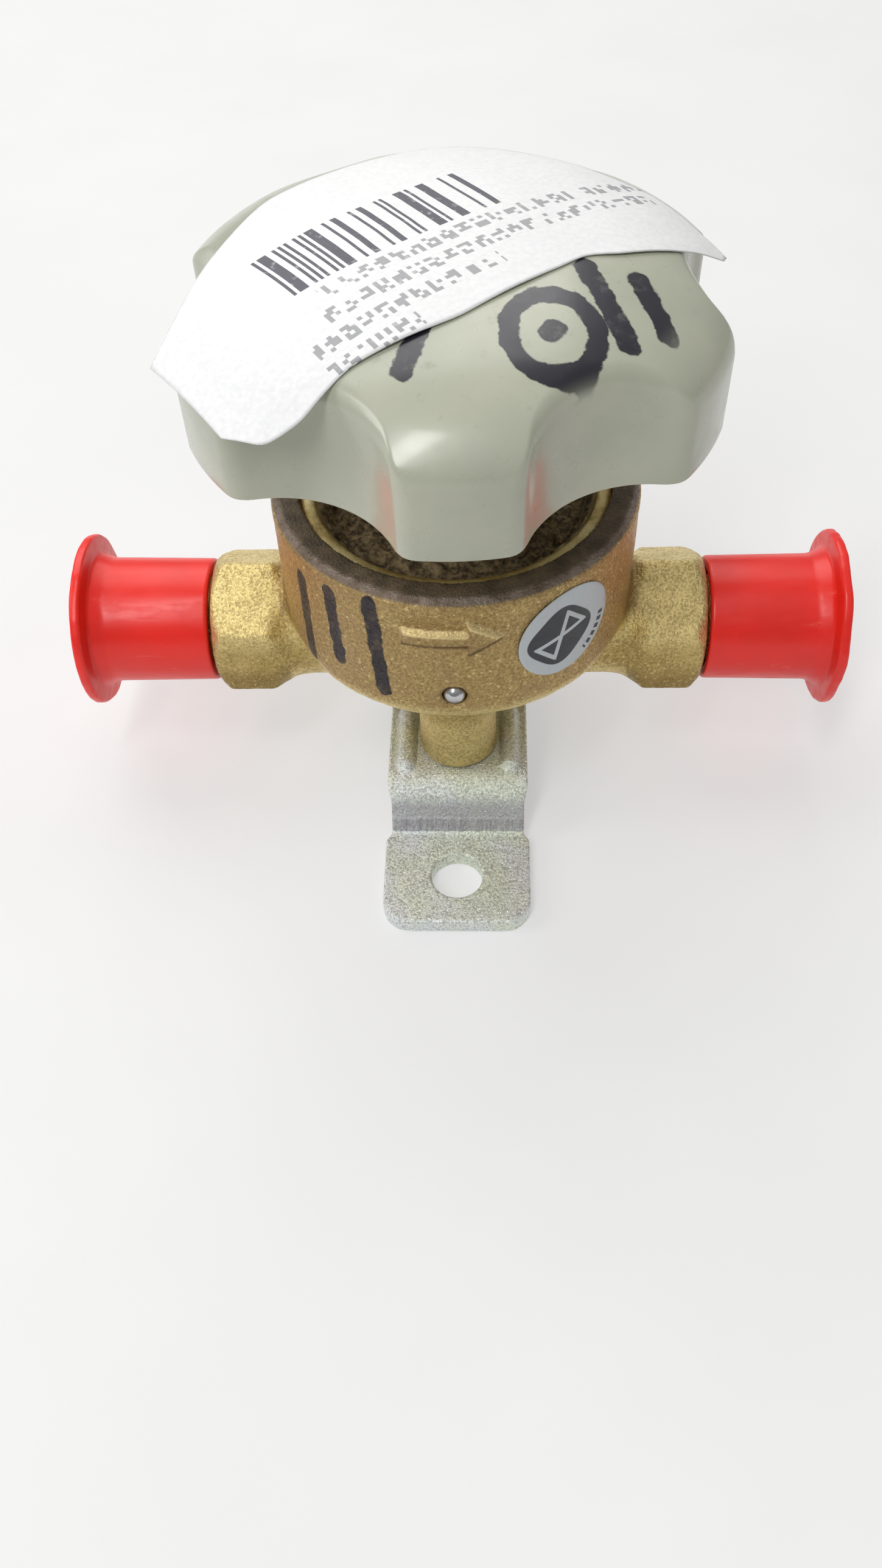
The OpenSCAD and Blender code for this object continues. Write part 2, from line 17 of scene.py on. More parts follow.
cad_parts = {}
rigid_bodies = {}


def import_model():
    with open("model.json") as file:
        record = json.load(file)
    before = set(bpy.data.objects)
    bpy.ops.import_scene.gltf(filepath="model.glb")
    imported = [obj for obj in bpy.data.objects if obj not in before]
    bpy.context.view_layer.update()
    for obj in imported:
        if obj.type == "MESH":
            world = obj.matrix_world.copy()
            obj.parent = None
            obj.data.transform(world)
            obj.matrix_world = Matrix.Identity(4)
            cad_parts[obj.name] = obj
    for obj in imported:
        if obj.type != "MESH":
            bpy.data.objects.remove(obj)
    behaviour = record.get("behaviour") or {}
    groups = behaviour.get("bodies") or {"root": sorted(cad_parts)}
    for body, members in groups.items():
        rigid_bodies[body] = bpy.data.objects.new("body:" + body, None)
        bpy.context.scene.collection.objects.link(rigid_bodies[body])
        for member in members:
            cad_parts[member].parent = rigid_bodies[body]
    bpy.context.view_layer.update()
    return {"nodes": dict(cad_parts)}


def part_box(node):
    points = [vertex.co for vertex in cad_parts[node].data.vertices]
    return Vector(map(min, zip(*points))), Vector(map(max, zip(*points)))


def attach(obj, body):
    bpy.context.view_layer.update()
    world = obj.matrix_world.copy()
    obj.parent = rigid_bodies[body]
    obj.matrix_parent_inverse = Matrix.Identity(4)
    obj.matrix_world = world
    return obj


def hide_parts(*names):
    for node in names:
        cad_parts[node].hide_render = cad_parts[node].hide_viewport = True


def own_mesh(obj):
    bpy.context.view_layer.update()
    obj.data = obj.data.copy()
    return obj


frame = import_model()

# %% [markdown]
# ## Sizes
# Blender works in metres, and the valve is only 83 mm long, so lengths are written as so many
# MM. The main radii and heights are read from the frame's boxes, so that the finer meshes
# follow the CAD part if it changes.

# %% Read the driving sizes from the frame
MM = 0.001
body_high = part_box("body")[1]
knob_low, knob_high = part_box("knob")
cap_low, cap_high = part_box("outlet_cap")

BOWL_R = body_high.y
RIM_Z = body_high.z
KNOB_R = 25.6 * MM
KNOB_Z = knob_low.z
CROWN_Z = knob_high.z
PORT_Z = (cap_low.z + cap_high.z) / 2
BOSS_X = cap_low.x - 0.3 * MM
BOWL_TURN_Z = PORT_Z + 5.6 * MM
PLUG_Z = (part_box("plug_ball")[0].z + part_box("plug_ball")[1].z) / 2
print(f"bowl radius {BOWL_R / MM:.1f}, rim {RIM_Z / MM:.1f}, port axis {PORT_Z / MM:.1f} mm")

# %% [markdown]
# ## The camera
# The valve stands on a table, and is looked at steeply from above and in front, close enough
# that the knob is plainly nearer than the foot. The lens and the place are what give those
# proportions. The axes of the view are built from three turns: how far it looks down, how far
# it is turned sideways, and how far it is tilted.

# %% Place the camera
PITCH, YAW, ROLL = math.radians(51.76), math.radians(-3.41), math.radians(-2.65)
CAMERA_PLACE = Vector((3.28, -103.14, 116.23)) * MM
LENS_MM, SENSOR_MM = 28.84, 36


def new_object(name, data):
    thing = bpy.data.objects.new(name, data)
    bpy.context.scene.collection.objects.link(thing)
    return thing


ahead = math.cos(PITCH)
forward = Vector((math.sin(YAW) * ahead, math.cos(YAW) * ahead, -math.sin(PITCH)))
level = Vector((math.cos(YAW), -math.sin(YAW), 0))
above = level.cross(forward)
across = math.cos(ROLL) * level + math.sin(ROLL) * above
upward = math.cos(ROLL) * above - math.sin(ROLL) * level
camera_data = bpy.data.cameras.new("camera")
camera_data.lens = LENS_MM
camera_data.sensor_width = SENSOR_MM
camera_data.clip_start = 5 * MM
camera = new_object("camera", camera_data)
view_axes = Matrix((across, upward, -forward)).transposed().to_4x4()
camera.matrix_world = Matrix.Translation(CAMERA_PLACE) @ view_axes
bpy.context.scene.camera = camera
print("camera looks down", round(math.degrees(PITCH), 1), "degrees")

# %% [markdown]
# ## Small helpers for materials
# Every finish here is made of nodes. Written out node by node, the arithmetic between them
# would bury the recipe, so a node's output is wrapped as a Field, and Python's own signs add
# the node for a sum, a product or a difference. Four more helpers give a noise, a ramp from
# one number to another, a blend of two colours, and a bump.

# %% A value that differs over the surface
class Field:
    """A number or colour that differs over a surface, held as the node's output that gives it."""

    def __init__(self, output):
        self.output = output
        self.tree = output.id_data

    def __add__(self, other):
        return sums("ADD", self, other)

    def __sub__(self, other):
        return sums("SUBTRACT", self, other)

    def __rsub__(self, other):
        return sums("SUBTRACT", other, self)

    def __mul__(self, other):
        return sums("MULTIPLY", self, other)

    def __truediv__(self, other):
        return sums("DIVIDE", self, other)

    def __abs__(self):
        return sums("ABSOLUTE", self)


def feed(socket, value):
    if isinstance(value, Field):
        value.tree.links.new(value.output, socket)
    elif value is not None:
        socket.default_value = value


def sums(operation, *values):
    tree = next(value.tree for value in values if isinstance(value, Field))
    node = tree.nodes.new("ShaderNodeMath")
    node.operation = operation
    for socket, value in zip(node.inputs, values):
        feed(socket, value)
    return Field(node.outputs[0])


def split(place):
    node = place.tree.nodes.new("ShaderNodeSeparateXYZ")
    feed(node.inputs[0], place)
    return [Field(output) for output in node.outputs]


def radius_from_axis(x, y):
    return sums("SQRT", x * x + y * y)


# %% [markdown]
# Each of the next helpers makes one node, links what it is given and returns the output. The
# last of them, dress, ends every recipe: it feeds colour, gloss, normal and metal into the
# shader, where a number that is the same all over goes straight on to its own socket.

# %% Helpers that make one node each
def new_material(name):
    material = bpy.data.materials.new(name)
    material.use_nodes = True
    return material, material.node_tree


def place_on_object(tree, stretch=None, turn=0.0):
    place = Field(tree.nodes.new("ShaderNodeTexCoord").outputs["Object"])
    if stretch is None:
        return place
    node = tree.nodes.new("ShaderNodeMapping")
    node.inputs["Scale"].default_value = stretch
    node.inputs["Rotation"].default_value = (0, 0, turn)
    feed(node.inputs["Vector"], place)
    return Field(node.outputs["Vector"])


def noise_of(tree, size_mm, detail=3.0, roughness=0.55, place=None):
    node = tree.nodes.new("ShaderNodeTexNoise")
    node.inputs["Scale"].default_value = 1000 / size_mm
    node.inputs["Detail"].default_value = detail
    node.inputs["Roughness"].default_value = roughness
    feed(node.inputs["Vector"], place or place_on_object(tree))
    return Field(node.outputs["Fac"])


def between(value, low, high, to_low=0.0, to_high=1.0, smooth=True):
    node = value.tree.nodes.new("ShaderNodeMapRange")
    node.interpolation_type = "SMOOTHSTEP" if smooth else "LINEAR"
    node.clamp = True
    for socket, number in zip(node.inputs, (value, low, high, to_low, to_high)):
        feed(socket, number)
    return Field(node.outputs["Result"])


def blend(share, first, second):
    node = share.tree.nodes.new("ShaderNodeMix")
    node.data_type = "RGBA"
    feed(node.inputs[0], share)
    for socket, colour in ((node.inputs[6], first), (node.inputs[7], second)):
        feed(socket, (*colour, 1) if isinstance(colour, tuple) else colour)
    return Field(node.outputs[2])


def bump_of(height, depth_mm, strength=1.0, under=None):
    node = height.tree.nodes.new("ShaderNodeBump")
    node.inputs["Strength"].default_value = strength
    node.inputs["Distance"].default_value = depth_mm * MM
    feed(node.inputs["Height"], height)
    feed(node.inputs["Normal"], under)
    return Field(node.outputs["Normal"])


def dress(material, colour, roughness, normal, metallic=None):
    shader = material.node_tree.nodes["Principled BSDF"]
    feed(shader.inputs["Base Color"], colour)
    feed(shader.inputs["Roughness"], roughness)
    feed(shader.inputs["Normal"], normal)
    feed(shader.inputs["Metallic"], metallic)
    print("mixed", material.name, "from", len(material.node_tree.nodes), "nodes")
    return shader


# %% [markdown]
# ## Ink from a felt pen
# Someone has marked the knob and the bowl with a black felt pen. A stroke is the set of points
# near a short line, so the finish needs only the distance to that line. The ink's edge is
# made ragged by a noise, and it thins out in patches, where the pen ran dry.

# %% Helpers for pen strokes
def inked(distance, half_width):
    return between(distance, half_width * 0.86, half_width * 1.08, 1, 0)


def near_stroke(u, v, start, end, half_width, ragged):
    run = (end[0] - start[0], end[1] - start[1])
    length_2 = run[0] ** 2 + run[1] ** 2
    du = u - start[0]
    dv = v - start[1]
    along = between(du * run[0] + dv * run[1], 0, length_2, smooth=False)
    off_u = sums("MULTIPLY_ADD", along, -run[0], du)
    off_v = sums("MULTIPLY_ADD", along, -run[1], dv)
    return inked(radius_from_axis(off_u, off_v) + ragged, half_width)


def pen_ink(u, v, strokes, half_width):
    tree = u.tree
    fray = 0.16 * half_width
    ragged = between(noise_of(tree, 1.4, 4), 0.3, 0.7, -fray, fray)
    ink = None
    for start, end in strokes:
        stroke = near_stroke(u, v, start, end, half_width, ragged)
        ink = stroke if ink is None else sums("MAXIMUM", ink, stroke)
    dry = between(noise_of(tree, 2.6, 6, 0.7), 0.30, 0.50, 0.80, 1.0)
    return ink * dry


# %% [markdown]
# ## Forged brass
# Hot forging leaves a fine grain like sand, and years in a store turn the skin brown while the
# tops of the grain stay golden. So one noise at 0.3 mm drives colour, roughness and bump
# together, and a slower noise adds the clouds of tarnish. Painted light makes the metal lighter
# above the ports and low on the bowl, painted shade darkens the bosses' undersides, and random
# specks of painted glint lie over it. The mesh marks a painted highlight along the arrow's upper
# edge and a painted shadow below it, as two attributes that the finish reads.

# %% Colours and pen marks of the forged body
# The lit gold, the underside gold and the glint colour are painted light and shade; the rubbed gold
# and the grime brown are a painted highlight and a painted shadow on the arrow.
TARNISHED, CLEAN, PAINTED_LIGHT_GOLD = (0.50, 0.37, 0.125), (0.66, 0.50, 0.20), (0.95, 0.77, 0.35)
PAINTED_SHADE_GOLD, PIT, PAINTED_GLINT = (0.27, 0.185, 0.06), (0.20, 0.125, 0.042), (0.90, 0.72, 0.34)
DARK_BROWN, LIGHT_BROWN = (0.345, 0.215, 0.092), (0.50, 0.345, 0.14)
PAINTED_HIGHLIGHT_GOLD, PAINTED_SHADOW_BROWN, HOLLOW = (0.86, 0.68, 0.34), (0.11, 0.062, 0.026), (0.035, 0.024, 0.012)
DARK_BLOOM, LIGHT_BLOOM = (0.17, 0.125, 0.088), (0.33, 0.265, 0.215)
DARK_DUST, LIGHT_DUST = (0.095, 0.068, 0.042), (0.21, 0.155, 0.095)
BOWL_INK = (0.016, 0.009, 0.013)

# Each tally stroke joins two points, in degrees round the bowl and mm above the table.
TALLY = [
    ((-53.0, 32.4), (-53.4, 21.4)),
    ((-39.8, 33.4), (-38.2, 24.6)),
    ((-25.2, 34.2), (-22.4, 22.6)),
]
print(len(TALLY), "tally strokes")

# %% [markdown]
# The rim was turned after forging and has a greyish bloom, dusty towards the inside. A dark
# ring round the plug ball shows the hole that it is pressed into. The tally strokes go round
# the bowl, so their place is worked out as a length round the wall and a height.

# %% Finish: forged brass
def marked_by_mesh(tree, name, most):
    node = tree.nodes.new("ShaderNodeAttribute")
    node.attribute_name = name
    return between(Field(node.outputs["Fac"]), 0.1, 0.8, 0, most)


def forged_skin(tree, z, sand, patches, bowl_only):
    clouds = noise_of(tree, 8, 5, 0.6)
    skin = blend(between(clouds, 0.36, 0.66), TARNISHED, CLEAN)
    # Painted light: lighter gold above the ports and low on the bowl; painted shade: darker on the
    # bosses' undersides.
    skin = blend(between(z, PORT_Z + 0.5 * MM, PORT_Z + 4.5 * MM, 0, 0.8), skin, PAINTED_LIGHT_GOLD)
    skin = blend(between(z, PORT_Z, PORT_Z - 3 * MM, 0, 0.7) * (1.0 - bowl_only), skin, PAINTED_SHADE_GOLD)
    skin = blend(bowl_only * between(z, 15 * MM, 13 * MM, 0, 0.45), skin, PAINTED_LIGHT_GOLD)
    brown = blend(between(patches, 0.34, 0.68), DARK_BROWN, LIGHT_BROWN)
    wall = bowl_only * between(z, BOWL_TURN_Z - 1.6 * MM, BOWL_TURN_Z + 0.4 * MM, 0, 0.85)
    skin = blend(wall, skin, brown)
    pits = between(sand + between(patches, 0.3, 0.7, 0.06, -0.06), 0.60, 0.34, 0, 0.5)
    skin = blend(pits, skin, PIT)
    # Random specks of painted glint.
    skin = blend(between(noise_of(tree, 0.42, 3, 0.6), 0.56, 0.72, 0, 0.75), skin, PAINTED_GLINT)
    # A painted highlight along the arrow's upper edge, and a painted shadow under the arrow.
    skin = blend(marked_by_mesh(tree, "rubbed", 0.85), skin, PAINTED_HIGHLIGHT_GOLD)
    skin = blend(marked_by_mesh(tree, "painted_shadow", 0.8), skin, PAINTED_SHADOW_BROWN)
    return skin, pits


def forged_brass():
    material, tree = new_material("forged_brass")
    x, y, z = split(place_on_object(tree))
    sand = noise_of(tree, 0.30, 3, 0.65)
    patches = noise_of(tree, 2.4, 5, 0.62)
    radius = radius_from_axis(x, y)
    bowl_only = between(radius, BOWL_R + 0.7 * MM, BOWL_R + 1.2 * MM, 1, 0)
    skin, pits = forged_skin(tree, z, sand, patches, bowl_only)

    top = bowl_only * between(z, RIM_Z - 0.74 * MM, RIM_Z - 0.48 * MM)
    bloom = blend(between(patches, 0.32, 0.66), DARK_BLOOM, LIGHT_BLOOM)
    in_bowl = between(radius, BOWL_R - 1.1 * MM, BOWL_R - 0.7 * MM, 1, 0)
    dust = blend(between(patches, 0.3, 0.7), DARK_DUST, LIGHT_DUST)
    from_plug = radius_from_axis(x, z - PLUG_Z)
    well = between(from_plug, 1.20 * MM, 1.30 * MM, 0.8, 0) * between(y, 0, -5 * MM)
    colour = blend(well, blend(top, skin, blend(in_bowl, bloom, dust)), HOLLOW)

    around = sums("ARCTAN2", x, y * -1.0) * BOWL_R
    strokes = [tuple((math.radians(a) * BOWL_R, h * MM) for a, h in stroke) for stroke in TALLY]
    ink = pen_ink(around, z, strokes, 0.85 * MM)
    ink = ink * between(radius, BOWL_R - 1.6 * MM, BOWL_R - 1.1 * MM) * bowl_only
    dull = sums("MAXIMUM", ink, sums("MAXIMUM", well, top * in_bowl))
    grain = bump_of(sand, 0.20, under=bump_of(patches, 0.10, 0.35))
    dress(
        material, blend(ink, colour, BOWL_INK), between(pits, 0, 0.5, 0.30, 0.52), grain,
        between(dull, 0, 1, 0.92, 0.25))
    return material


FORGED = forged_brass()

# %% [markdown]
# ## Turned metals
# The spindle and the small parts inside were cut on a lathe. A lathe leaves fine rings round
# the axis, which a sine of the radius and the height gives. The same recipe serves brass and
# steel, with only the colours and the gloss changed.

# %% Finish: turned brass and ground steel
TURNING_RING = 0.25 * MM


def turned_metal(name, light, dark, roughness):
    material, tree = new_material(name)
    x, y, z = split(place_on_object(tree))
    rings = sums("SINE", (radius_from_axis(x, y) + z) * (2 * math.pi / TURNING_RING))
    stain = noise_of(tree, 3.5, 5, 0.6)
    gloss = between(stain, 0.3, 0.7, roughness + 0.12, roughness)
    colour = blend(between(stain, 0.35, 0.68), dark, light)
    dress(material, colour, gloss, bump_of(rings, 0.008, 0.5), 1.0)
    return material


TURNED_BRASS = turned_metal("turned_brass", (0.72, 0.53, 0.22), (0.50, 0.35, 0.13), 0.24)
STEEL = turned_metal("ground_steel", (0.62, 0.62, 0.63), (0.42, 0.42, 0.43), 0.22)

# %% [markdown]
# ## The dusty bonnet
# The bonnet's outer edge was rubbed bright, and its neck up into the knob is tarnished brass.
# The hollow between them has years of brown dust in it, so there the turned brass is covered
# by a rough brown layer with fluff in it.

# %% Finish: the dusty bonnet
def dusty_bonnet():
    material, tree = new_material("dusty_bonnet")
    x, y, z = split(place_on_object(tree))
    edge_z = RIM_Z - 0.8 * MM
    radius = radius_from_axis(x, y)
    fluff = noise_of(tree, 0.7, 6, 0.7)
    clumps = noise_of(tree, 3.2, 4, 0.6)
    brass = blend(between(clumps, 0.35, 0.65), (0.62, 0.47, 0.18), (0.95, 0.80, 0.42))
    dust = blend(between(fluff, 0.35, 0.68), (0.060, 0.040, 0.021), (0.42, 0.31, 0.165))
    at_edge = between(z, edge_z - 1.3 * MM, edge_z - 0.4 * MM)
    at_edge = at_edge * between(radius, 13.1 * MM, 14.0 * MM)
    rubbed = at_edge * between(clumps, 0.30, 0.46, 0.45, 1.0)
    neck = between(z, RIM_Z + 0.5 * MM, RIM_Z + 3 * MM) * between(clumps, 0.36, 0.60, 0.55, 0.95)
    bare = sums("MAXIMUM", rubbed, neck)
    dress(
        material, blend(bare, dust, brass), between(bare, 0, 1, 0.9, 0.34), bump_of(fluff, 0.2, 0.8),
        between(bare, 0, 1, 0.05, 1.0))
    return material


DUSTY_BRASS = dusty_bonnet()

# %% [markdown]
# ## Zinc-plated sheet
# Bright zinc has a cool grey with a faint straw and green bloom from its passivation, and its
# flats are finely pitted, with random specks of painted glint among the pits. The press has
# dragged fine lines down the step between the flats, and a band of painted shade darkens the
# plating above them. A noise stretched along Y and Z gives the lines, which so run up and
# down, and a slow noise moves the bloom.

# %% Finish: zinc plate
def zinc_plate():
    material, tree = new_material("zinc_plate")
    drag = noise_of(tree, 0.35, 4, 0.6, place_on_object(tree, (1, 0.1, 0.1)))
    fibres = noise_of(tree, 0.26, 4, 0.75)
    bloom = noise_of(tree, 7, 3, 0.5)
    zinc = blend(between(bloom, 0.40, 0.62), (0.92, 0.96, 0.97), (0.89, 0.95, 0.80))
    zinc = blend(between(fibres, 0.54, 0.40, 0, 0.72), zinc, (0.34, 0.35, 0.31))
    # Random specks of painted glint among the fibres.
    zinc = blend(between(fibres, 0.54, 0.66, 0, 0.8), zinc, (0.98, 1.0, 0.97))
    z = split(place_on_object(tree))[2]
    above_foot = between(z, 2.12 * MM, 2.3 * MM)
    at_bend = above_foot * between(z, 3.6 * MM, 3.2 * MM)
    streaks = between(drag, 0.46, 0.56, 0, 0.55) * at_bend
    zinc = blend(streaks, zinc, (0.36, 0.35, 0.34))
    # A band of painted shade on the step.
    painted_shade_band = above_foot * between(z, 6.0 * MM, 4.4 * MM, 0, 0.60)
    zinc = blend(painted_shade_band, zinc, (0.40, 0.37, 0.42))
    relief = bump_of(fibres, 0.16, 0.9, bump_of(drag * at_bend, 0.25, 0.9))
    dress(material, zinc, between(fibres, 0.3, 0.7, 0.42, 0.24), relief, 0.85)
    return material


ZINC = zinc_plate()

# %% [markdown]
# ## The knob's plastic
# A smooth grey-green moulding with a soft shine. It is grimy in patches on the crown, and
# scratched very finely. The pen has left a dash, a ring with a dot in it and two slanted
# strokes on the crown, so the ink is worked out from the place seen from above.

# %% Finish: knob plastic
DASH = [((-1.9, -12.6), (-3.4, -17.6))]
SLASHES = [((11.3, -4.6), (14.6, -13.6)), ((15.7, -5.4), (18.0, -11.6))]
DOT = [((8.3, -13.6), (8.7, -12.9))]
RING_CENTRE, RING_SIZE, RING_HALF_WIDTH = (8.5, -13.3), (3.6, 4.4), 0.95


def knob_ink(tree, x, y):
    strokes = [tuple((u * MM, v * MM) for u, v in stroke) for stroke in DASH + SLASHES + DOT]
    ring_u = (x - RING_CENTRE[0] * MM) / (RING_SIZE[0] * MM)
    ring_v = (y - RING_CENTRE[1] * MM) / (RING_SIZE[1] * MM)
    off_ring = abs(radius_from_axis(ring_u, ring_v) - 1.0)
    off_ring = off_ring + between(noise_of(tree, 1.4, 4), 0.3, 0.7, -0.04, 0.04)
    return sums("MAXIMUM", pen_ink(x, y, strokes, 1.0 * MM), inked(off_ring, RING_HALF_WIDTH / 4))


def knob_plastic():
    material, tree = new_material("knob_plastic")
    x, y, z = split(place_on_object(tree))
    cloud = noise_of(tree, 12, 4, 0.55)
    grime = noise_of(tree, 2.4, 6, 0.68)
    scratch = noise_of(tree, 0.7, 3, 0.6, place_on_object(tree, (1, 0.08, 0.4), 0.6))
    plastic = blend(between(cloud, 0.32, 0.68), (0.415, 0.432, 0.335), (0.475, 0.482, 0.372))
    crown = between(z, KNOB_Z + 9.5 * MM, KNOB_Z + 12 * MM)
    plastic = blend(crown * between(grime, 0.58, 0.74, 0, 0.35), plastic, (0.20, 0.165, 0.105))
    plastic = blend(crown * knob_ink(tree, x, y), plastic, (0.010, 0.010, 0.019))
    relief = bump_of(scratch, 0.012, 0.5, bump_of(noise_of(tree, 5, 2), 0.05, 0.35))
    shader = dress(material, plastic, between(grime, 0.35, 0.75, 0.27, 0.42), relief)
    shader.inputs["Specular IOR Level"].default_value = 0.5
    shader.inputs["Coat Weight"].default_value = 0.45
    shader.inputs["Coat Roughness"].default_value = 0.14
    return material


KNOB_PLASTIC = knob_plastic()

# %% [markdown]
# ## Red caps, nylon and rubber
# The caps are soft polyethylene: light goes a little way in, and scuffs turn it paler. Nylon and
# rubber parts are hidden inside, but each still has its own fine texture.

# %% Finish: soft plastics and rubber
def soft_plastic(name, base, scuffed, roughness, glow=0.0):
    material, tree = new_material(name)
    scuff = noise_of(tree, 1.3, 6, 0.7, place_on_object(tree, (0.25, 1, 1)))
    cloud = noise_of(tree, 7, 3)
    colour = blend(between(scuff, 0.60, 0.76, 0, 0.5), base, scuffed)
    colour = blend(between(cloud, 0.6, 0.3, 0, 0.25), colour, tuple(c * 0.7 for c in base))
    gloss = between(scuff, 0.4, 0.75, roughness, roughness + 0.2)
    shader = dress(material, colour, gloss, bump_of(scuff, 0.03, 0.5))
    shader.inputs["Subsurface Weight"].default_value = glow
    shader.inputs["Subsurface Radius"].default_value = (1.0, 0.25, 0.15)
    shader.inputs["Subsurface Scale"].default_value = 0.6 * MM
    return material


CAP_RED = soft_plastic("cap_red", (0.90, 0.022, 0.013), (0.97, 0.26, 0.20), 0.30, 0.2)
NYLON = soft_plastic("nylon", (0.82, 0.80, 0.70), (0.90, 0.89, 0.82), 0.5)
RUBBER = soft_plastic("rubber", (0.018, 0.018, 0.018), (0.05, 0.05, 0.05), 0.7)

# %% [markdown]
# ## Paper
# The label is thermal paper with a bar pattern and a few rows of grey dashes where a shop would
# print its text. The bars come from white noise over narrow strips, and the rows from white
# noise over small cells, so they stand for no number and spell nothing.

# %% Helpers for print
ALONG, ACROSS = Vector((0.80, 0.60)), Vector((-0.60, 0.80))
PRINT_SOFT = 0.06 * MM
BAR_MM, CELL_MM, ROW_HEIGHT_MM = 0.30, 0.42, 1.7

# Each row gives its foot across the label, and its start and end along it, in mm.
PRINT_ROWS = [(-1.6, -13.5, 22), (-4.3, -15, 20), (-7.0, -17.5, 1), (-9.6, -18, -9)]


def in_band(value, low_mm, high_mm):
    rise = between(value, low_mm * MM - PRINT_SOFT, low_mm * MM + PRINT_SOFT)
    return rise * between(value, high_mm * MM - PRINT_SOFT, high_mm * MM + PRINT_SOFT, 1, 0)


def random_cells(places, share, kind="3D"):
    node = places[0].tree.nodes.new("ShaderNodeTexWhiteNoise")
    node.noise_dimensions = kind
    cell = places[0].tree.nodes.new("ShaderNodeCombineXYZ")
    for socket, place in zip(cell.inputs, places):
        feed(socket, place)
    feed(node.inputs["Vector"], Field(cell.outputs[0]))
    return sums("LESS_THAN", Field(node.outputs["Value"]), share)


def printed_row(u, v, low_mm, start_mm, end_mm, seed):
    """A row of small blocks in cells, with a gap after every few: print that spells nothing."""
    column = sums("FLOOR", u / (CELL_MM * MM))
    line = sums("FLOOR", (v - low_mm * MM) / (ROW_HEIGHT_MM * MM / 4))
    gap = sums("GREATER_THAN", sums("FRACT", u / (4 * CELL_MM * MM)), 0.25)
    area = in_band(u, start_mm, end_mm) * in_band(v, low_mm, low_mm + ROW_HEIGHT_MM)
    return random_cells((column, line, seed), 0.52) * gap * area


# %% [markdown]
# The label lies at an angle to the valve, so a place on it is first measured along and across
# the paper, and the print is laid out in those two lengths.

# %% Finish: printed paper
def label_paper():
    material, tree = new_material("label_paper")
    x, y = split(place_on_object(tree))[:2]
    u = x * ALONG.x + y * ALONG.y
    v = x * ACROSS.x + y * ACROSS.y
    bars = random_cells((sums("FLOOR", u / (BAR_MM * MM)), 3.7), 0.40, "2D")
    print_ink = in_band(u, -15.2, 6.4) * in_band(v, 0.9, 8.3) * bars
    for seed, (low, start, end) in enumerate(PRINT_ROWS):
        row = printed_row(u, v, low, start, end, seed + 0.5)
        print_ink = sums("MAXIMUM", print_ink, row * 0.62)
    fibre = noise_of(tree, 0.5, 4, 0.6)
    paper = blend(between(fibre, 0.3, 0.7), (0.80, 0.80, 0.80), (0.87, 0.87, 0.86))
    worn = between(noise_of(tree, 0.8, 3), 0.30, 0.42, 0.7, 1.0)
    colour = blend(print_ink * worn, paper, (0.10, 0.10, 0.12))
    dress(material, colour, between(fibre, 0.3, 0.7, 0.52, 0.62), bump_of(fibre, 0.02, 0.4))
    return material


LABEL_PAPER = label_paper()

# %% [markdown]
# ## The sticker's film
# An oval of pale grey satin film, with a dark badge in the middle. The badge carries the sign
# that drawings use for a valve, two triangles tip to tip, and a short row of dashes follows
# the film's edge. The place on the film is measured from the sticker's own middle, along its
# two axes, so the badge stays put on the bowl's curve.

# %% Finish: the sticker
STICKER_AZIMUTH, STICKER_TILT = math.radians(36), math.radians(44)
STICKER_Z = RIM_Z - 7.0 * MM
STICKER_A, STICKER_B = 5.5 * MM, 5.2 * MM


def valve_sign(u, v):
    """Two triangles tip to tip in outline, each closed by a bar."""
    wing = abs(v * 0.62) - abs(u)
    outline = between(abs(wing), 0.045, 0.06, 1, 0) * between(abs(v), 0.46, 0.48, 1, 0)
    end_bar = between(abs(abs(v) - 0.44), 0.035, 0.05, 1, 0) * between(wing, -0.03, 0.0)
    return sums("MAXIMUM", outline, end_bar)


def edge_dashes(u, v):
    turn = sums("ARCTAN2", v, u)
    reach = radius_from_axis(u, v)
    dash = sums("GREATER_THAN", sums("FRACT", turn * 5.3), 0.38)
    in_ring = between(reach, 0.76, 0.78) * between(reach, 0.90, 0.88)
    in_row = between(turn, -0.25, -0.23) * between(turn, 0.75, 0.73)
    return dash * in_ring * in_row


def sticker_film():
    material, tree = new_material("sticker_film")
    flat = tree.nodes.new("ShaderNodeUVMap")
    flat.uv_map = "flat"
    u, v = split(Field(flat.outputs["UV"]))[:2]
    badge_u, badge_v = u + 0.08, v + 0.12
    squareness = sums("POWER", abs(badge_u), 3.2) + sums("POWER", abs(badge_v), 3.2)
    badge = between(squareness, 0.20, 0.225, 1, 0)
    dark = badge * (1.0 - valve_sign(badge_u, badge_v))
    dark = sums("MAXIMUM", dark, edge_dashes(u, v))
    dirt = noise_of(tree, 1.1, 5, 0.65)
    film = blend(between(dirt, 0.55, 0.75, 0, 0.35), (0.56, 0.60, 0.62), (0.36, 0.34, 0.29))
    colour = blend(dark, film, (0.022, 0.027, 0.032))
    dress(material, colour, between(dirt, 0.3, 0.7, 0.36, 0.5), bump_of(dirt, 0.015, 0.4))
    return material


STICKER_FILM = sticker_film()

# %% [markdown]
# ## Helpers for meshes
# Most pieces are grids of points bent into shape: rings round an axis, or rows along a strip.
# One helper turns such a grid into faces, and another makes the object, gives it its finish
# and lets it ride on its body in place of the CAD node it stands for.

# %% Helpers that turn points into pieces
def add_piece(name, mesh, body, finish, stands_for):
    piece = new_object(name, mesh)
    mesh.polygons.foreach_set("use_smooth", [True] * len(mesh.polygons))
    mesh.materials.append(finish)
    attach(piece, body)
    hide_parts(stands_for)
    print(f"{name}: {len(mesh.polygons)} faces")
    return piece


def grid_faces(rows, columns, closed):
    faces = []
    for row in range(0, (rows - 1) * columns, columns):
        for j in range(columns if closed else columns - 1):
            k = (j + 1) % columns
            faces.append((row + j, row + k, row + columns + k, row + columns + j))
    return faces


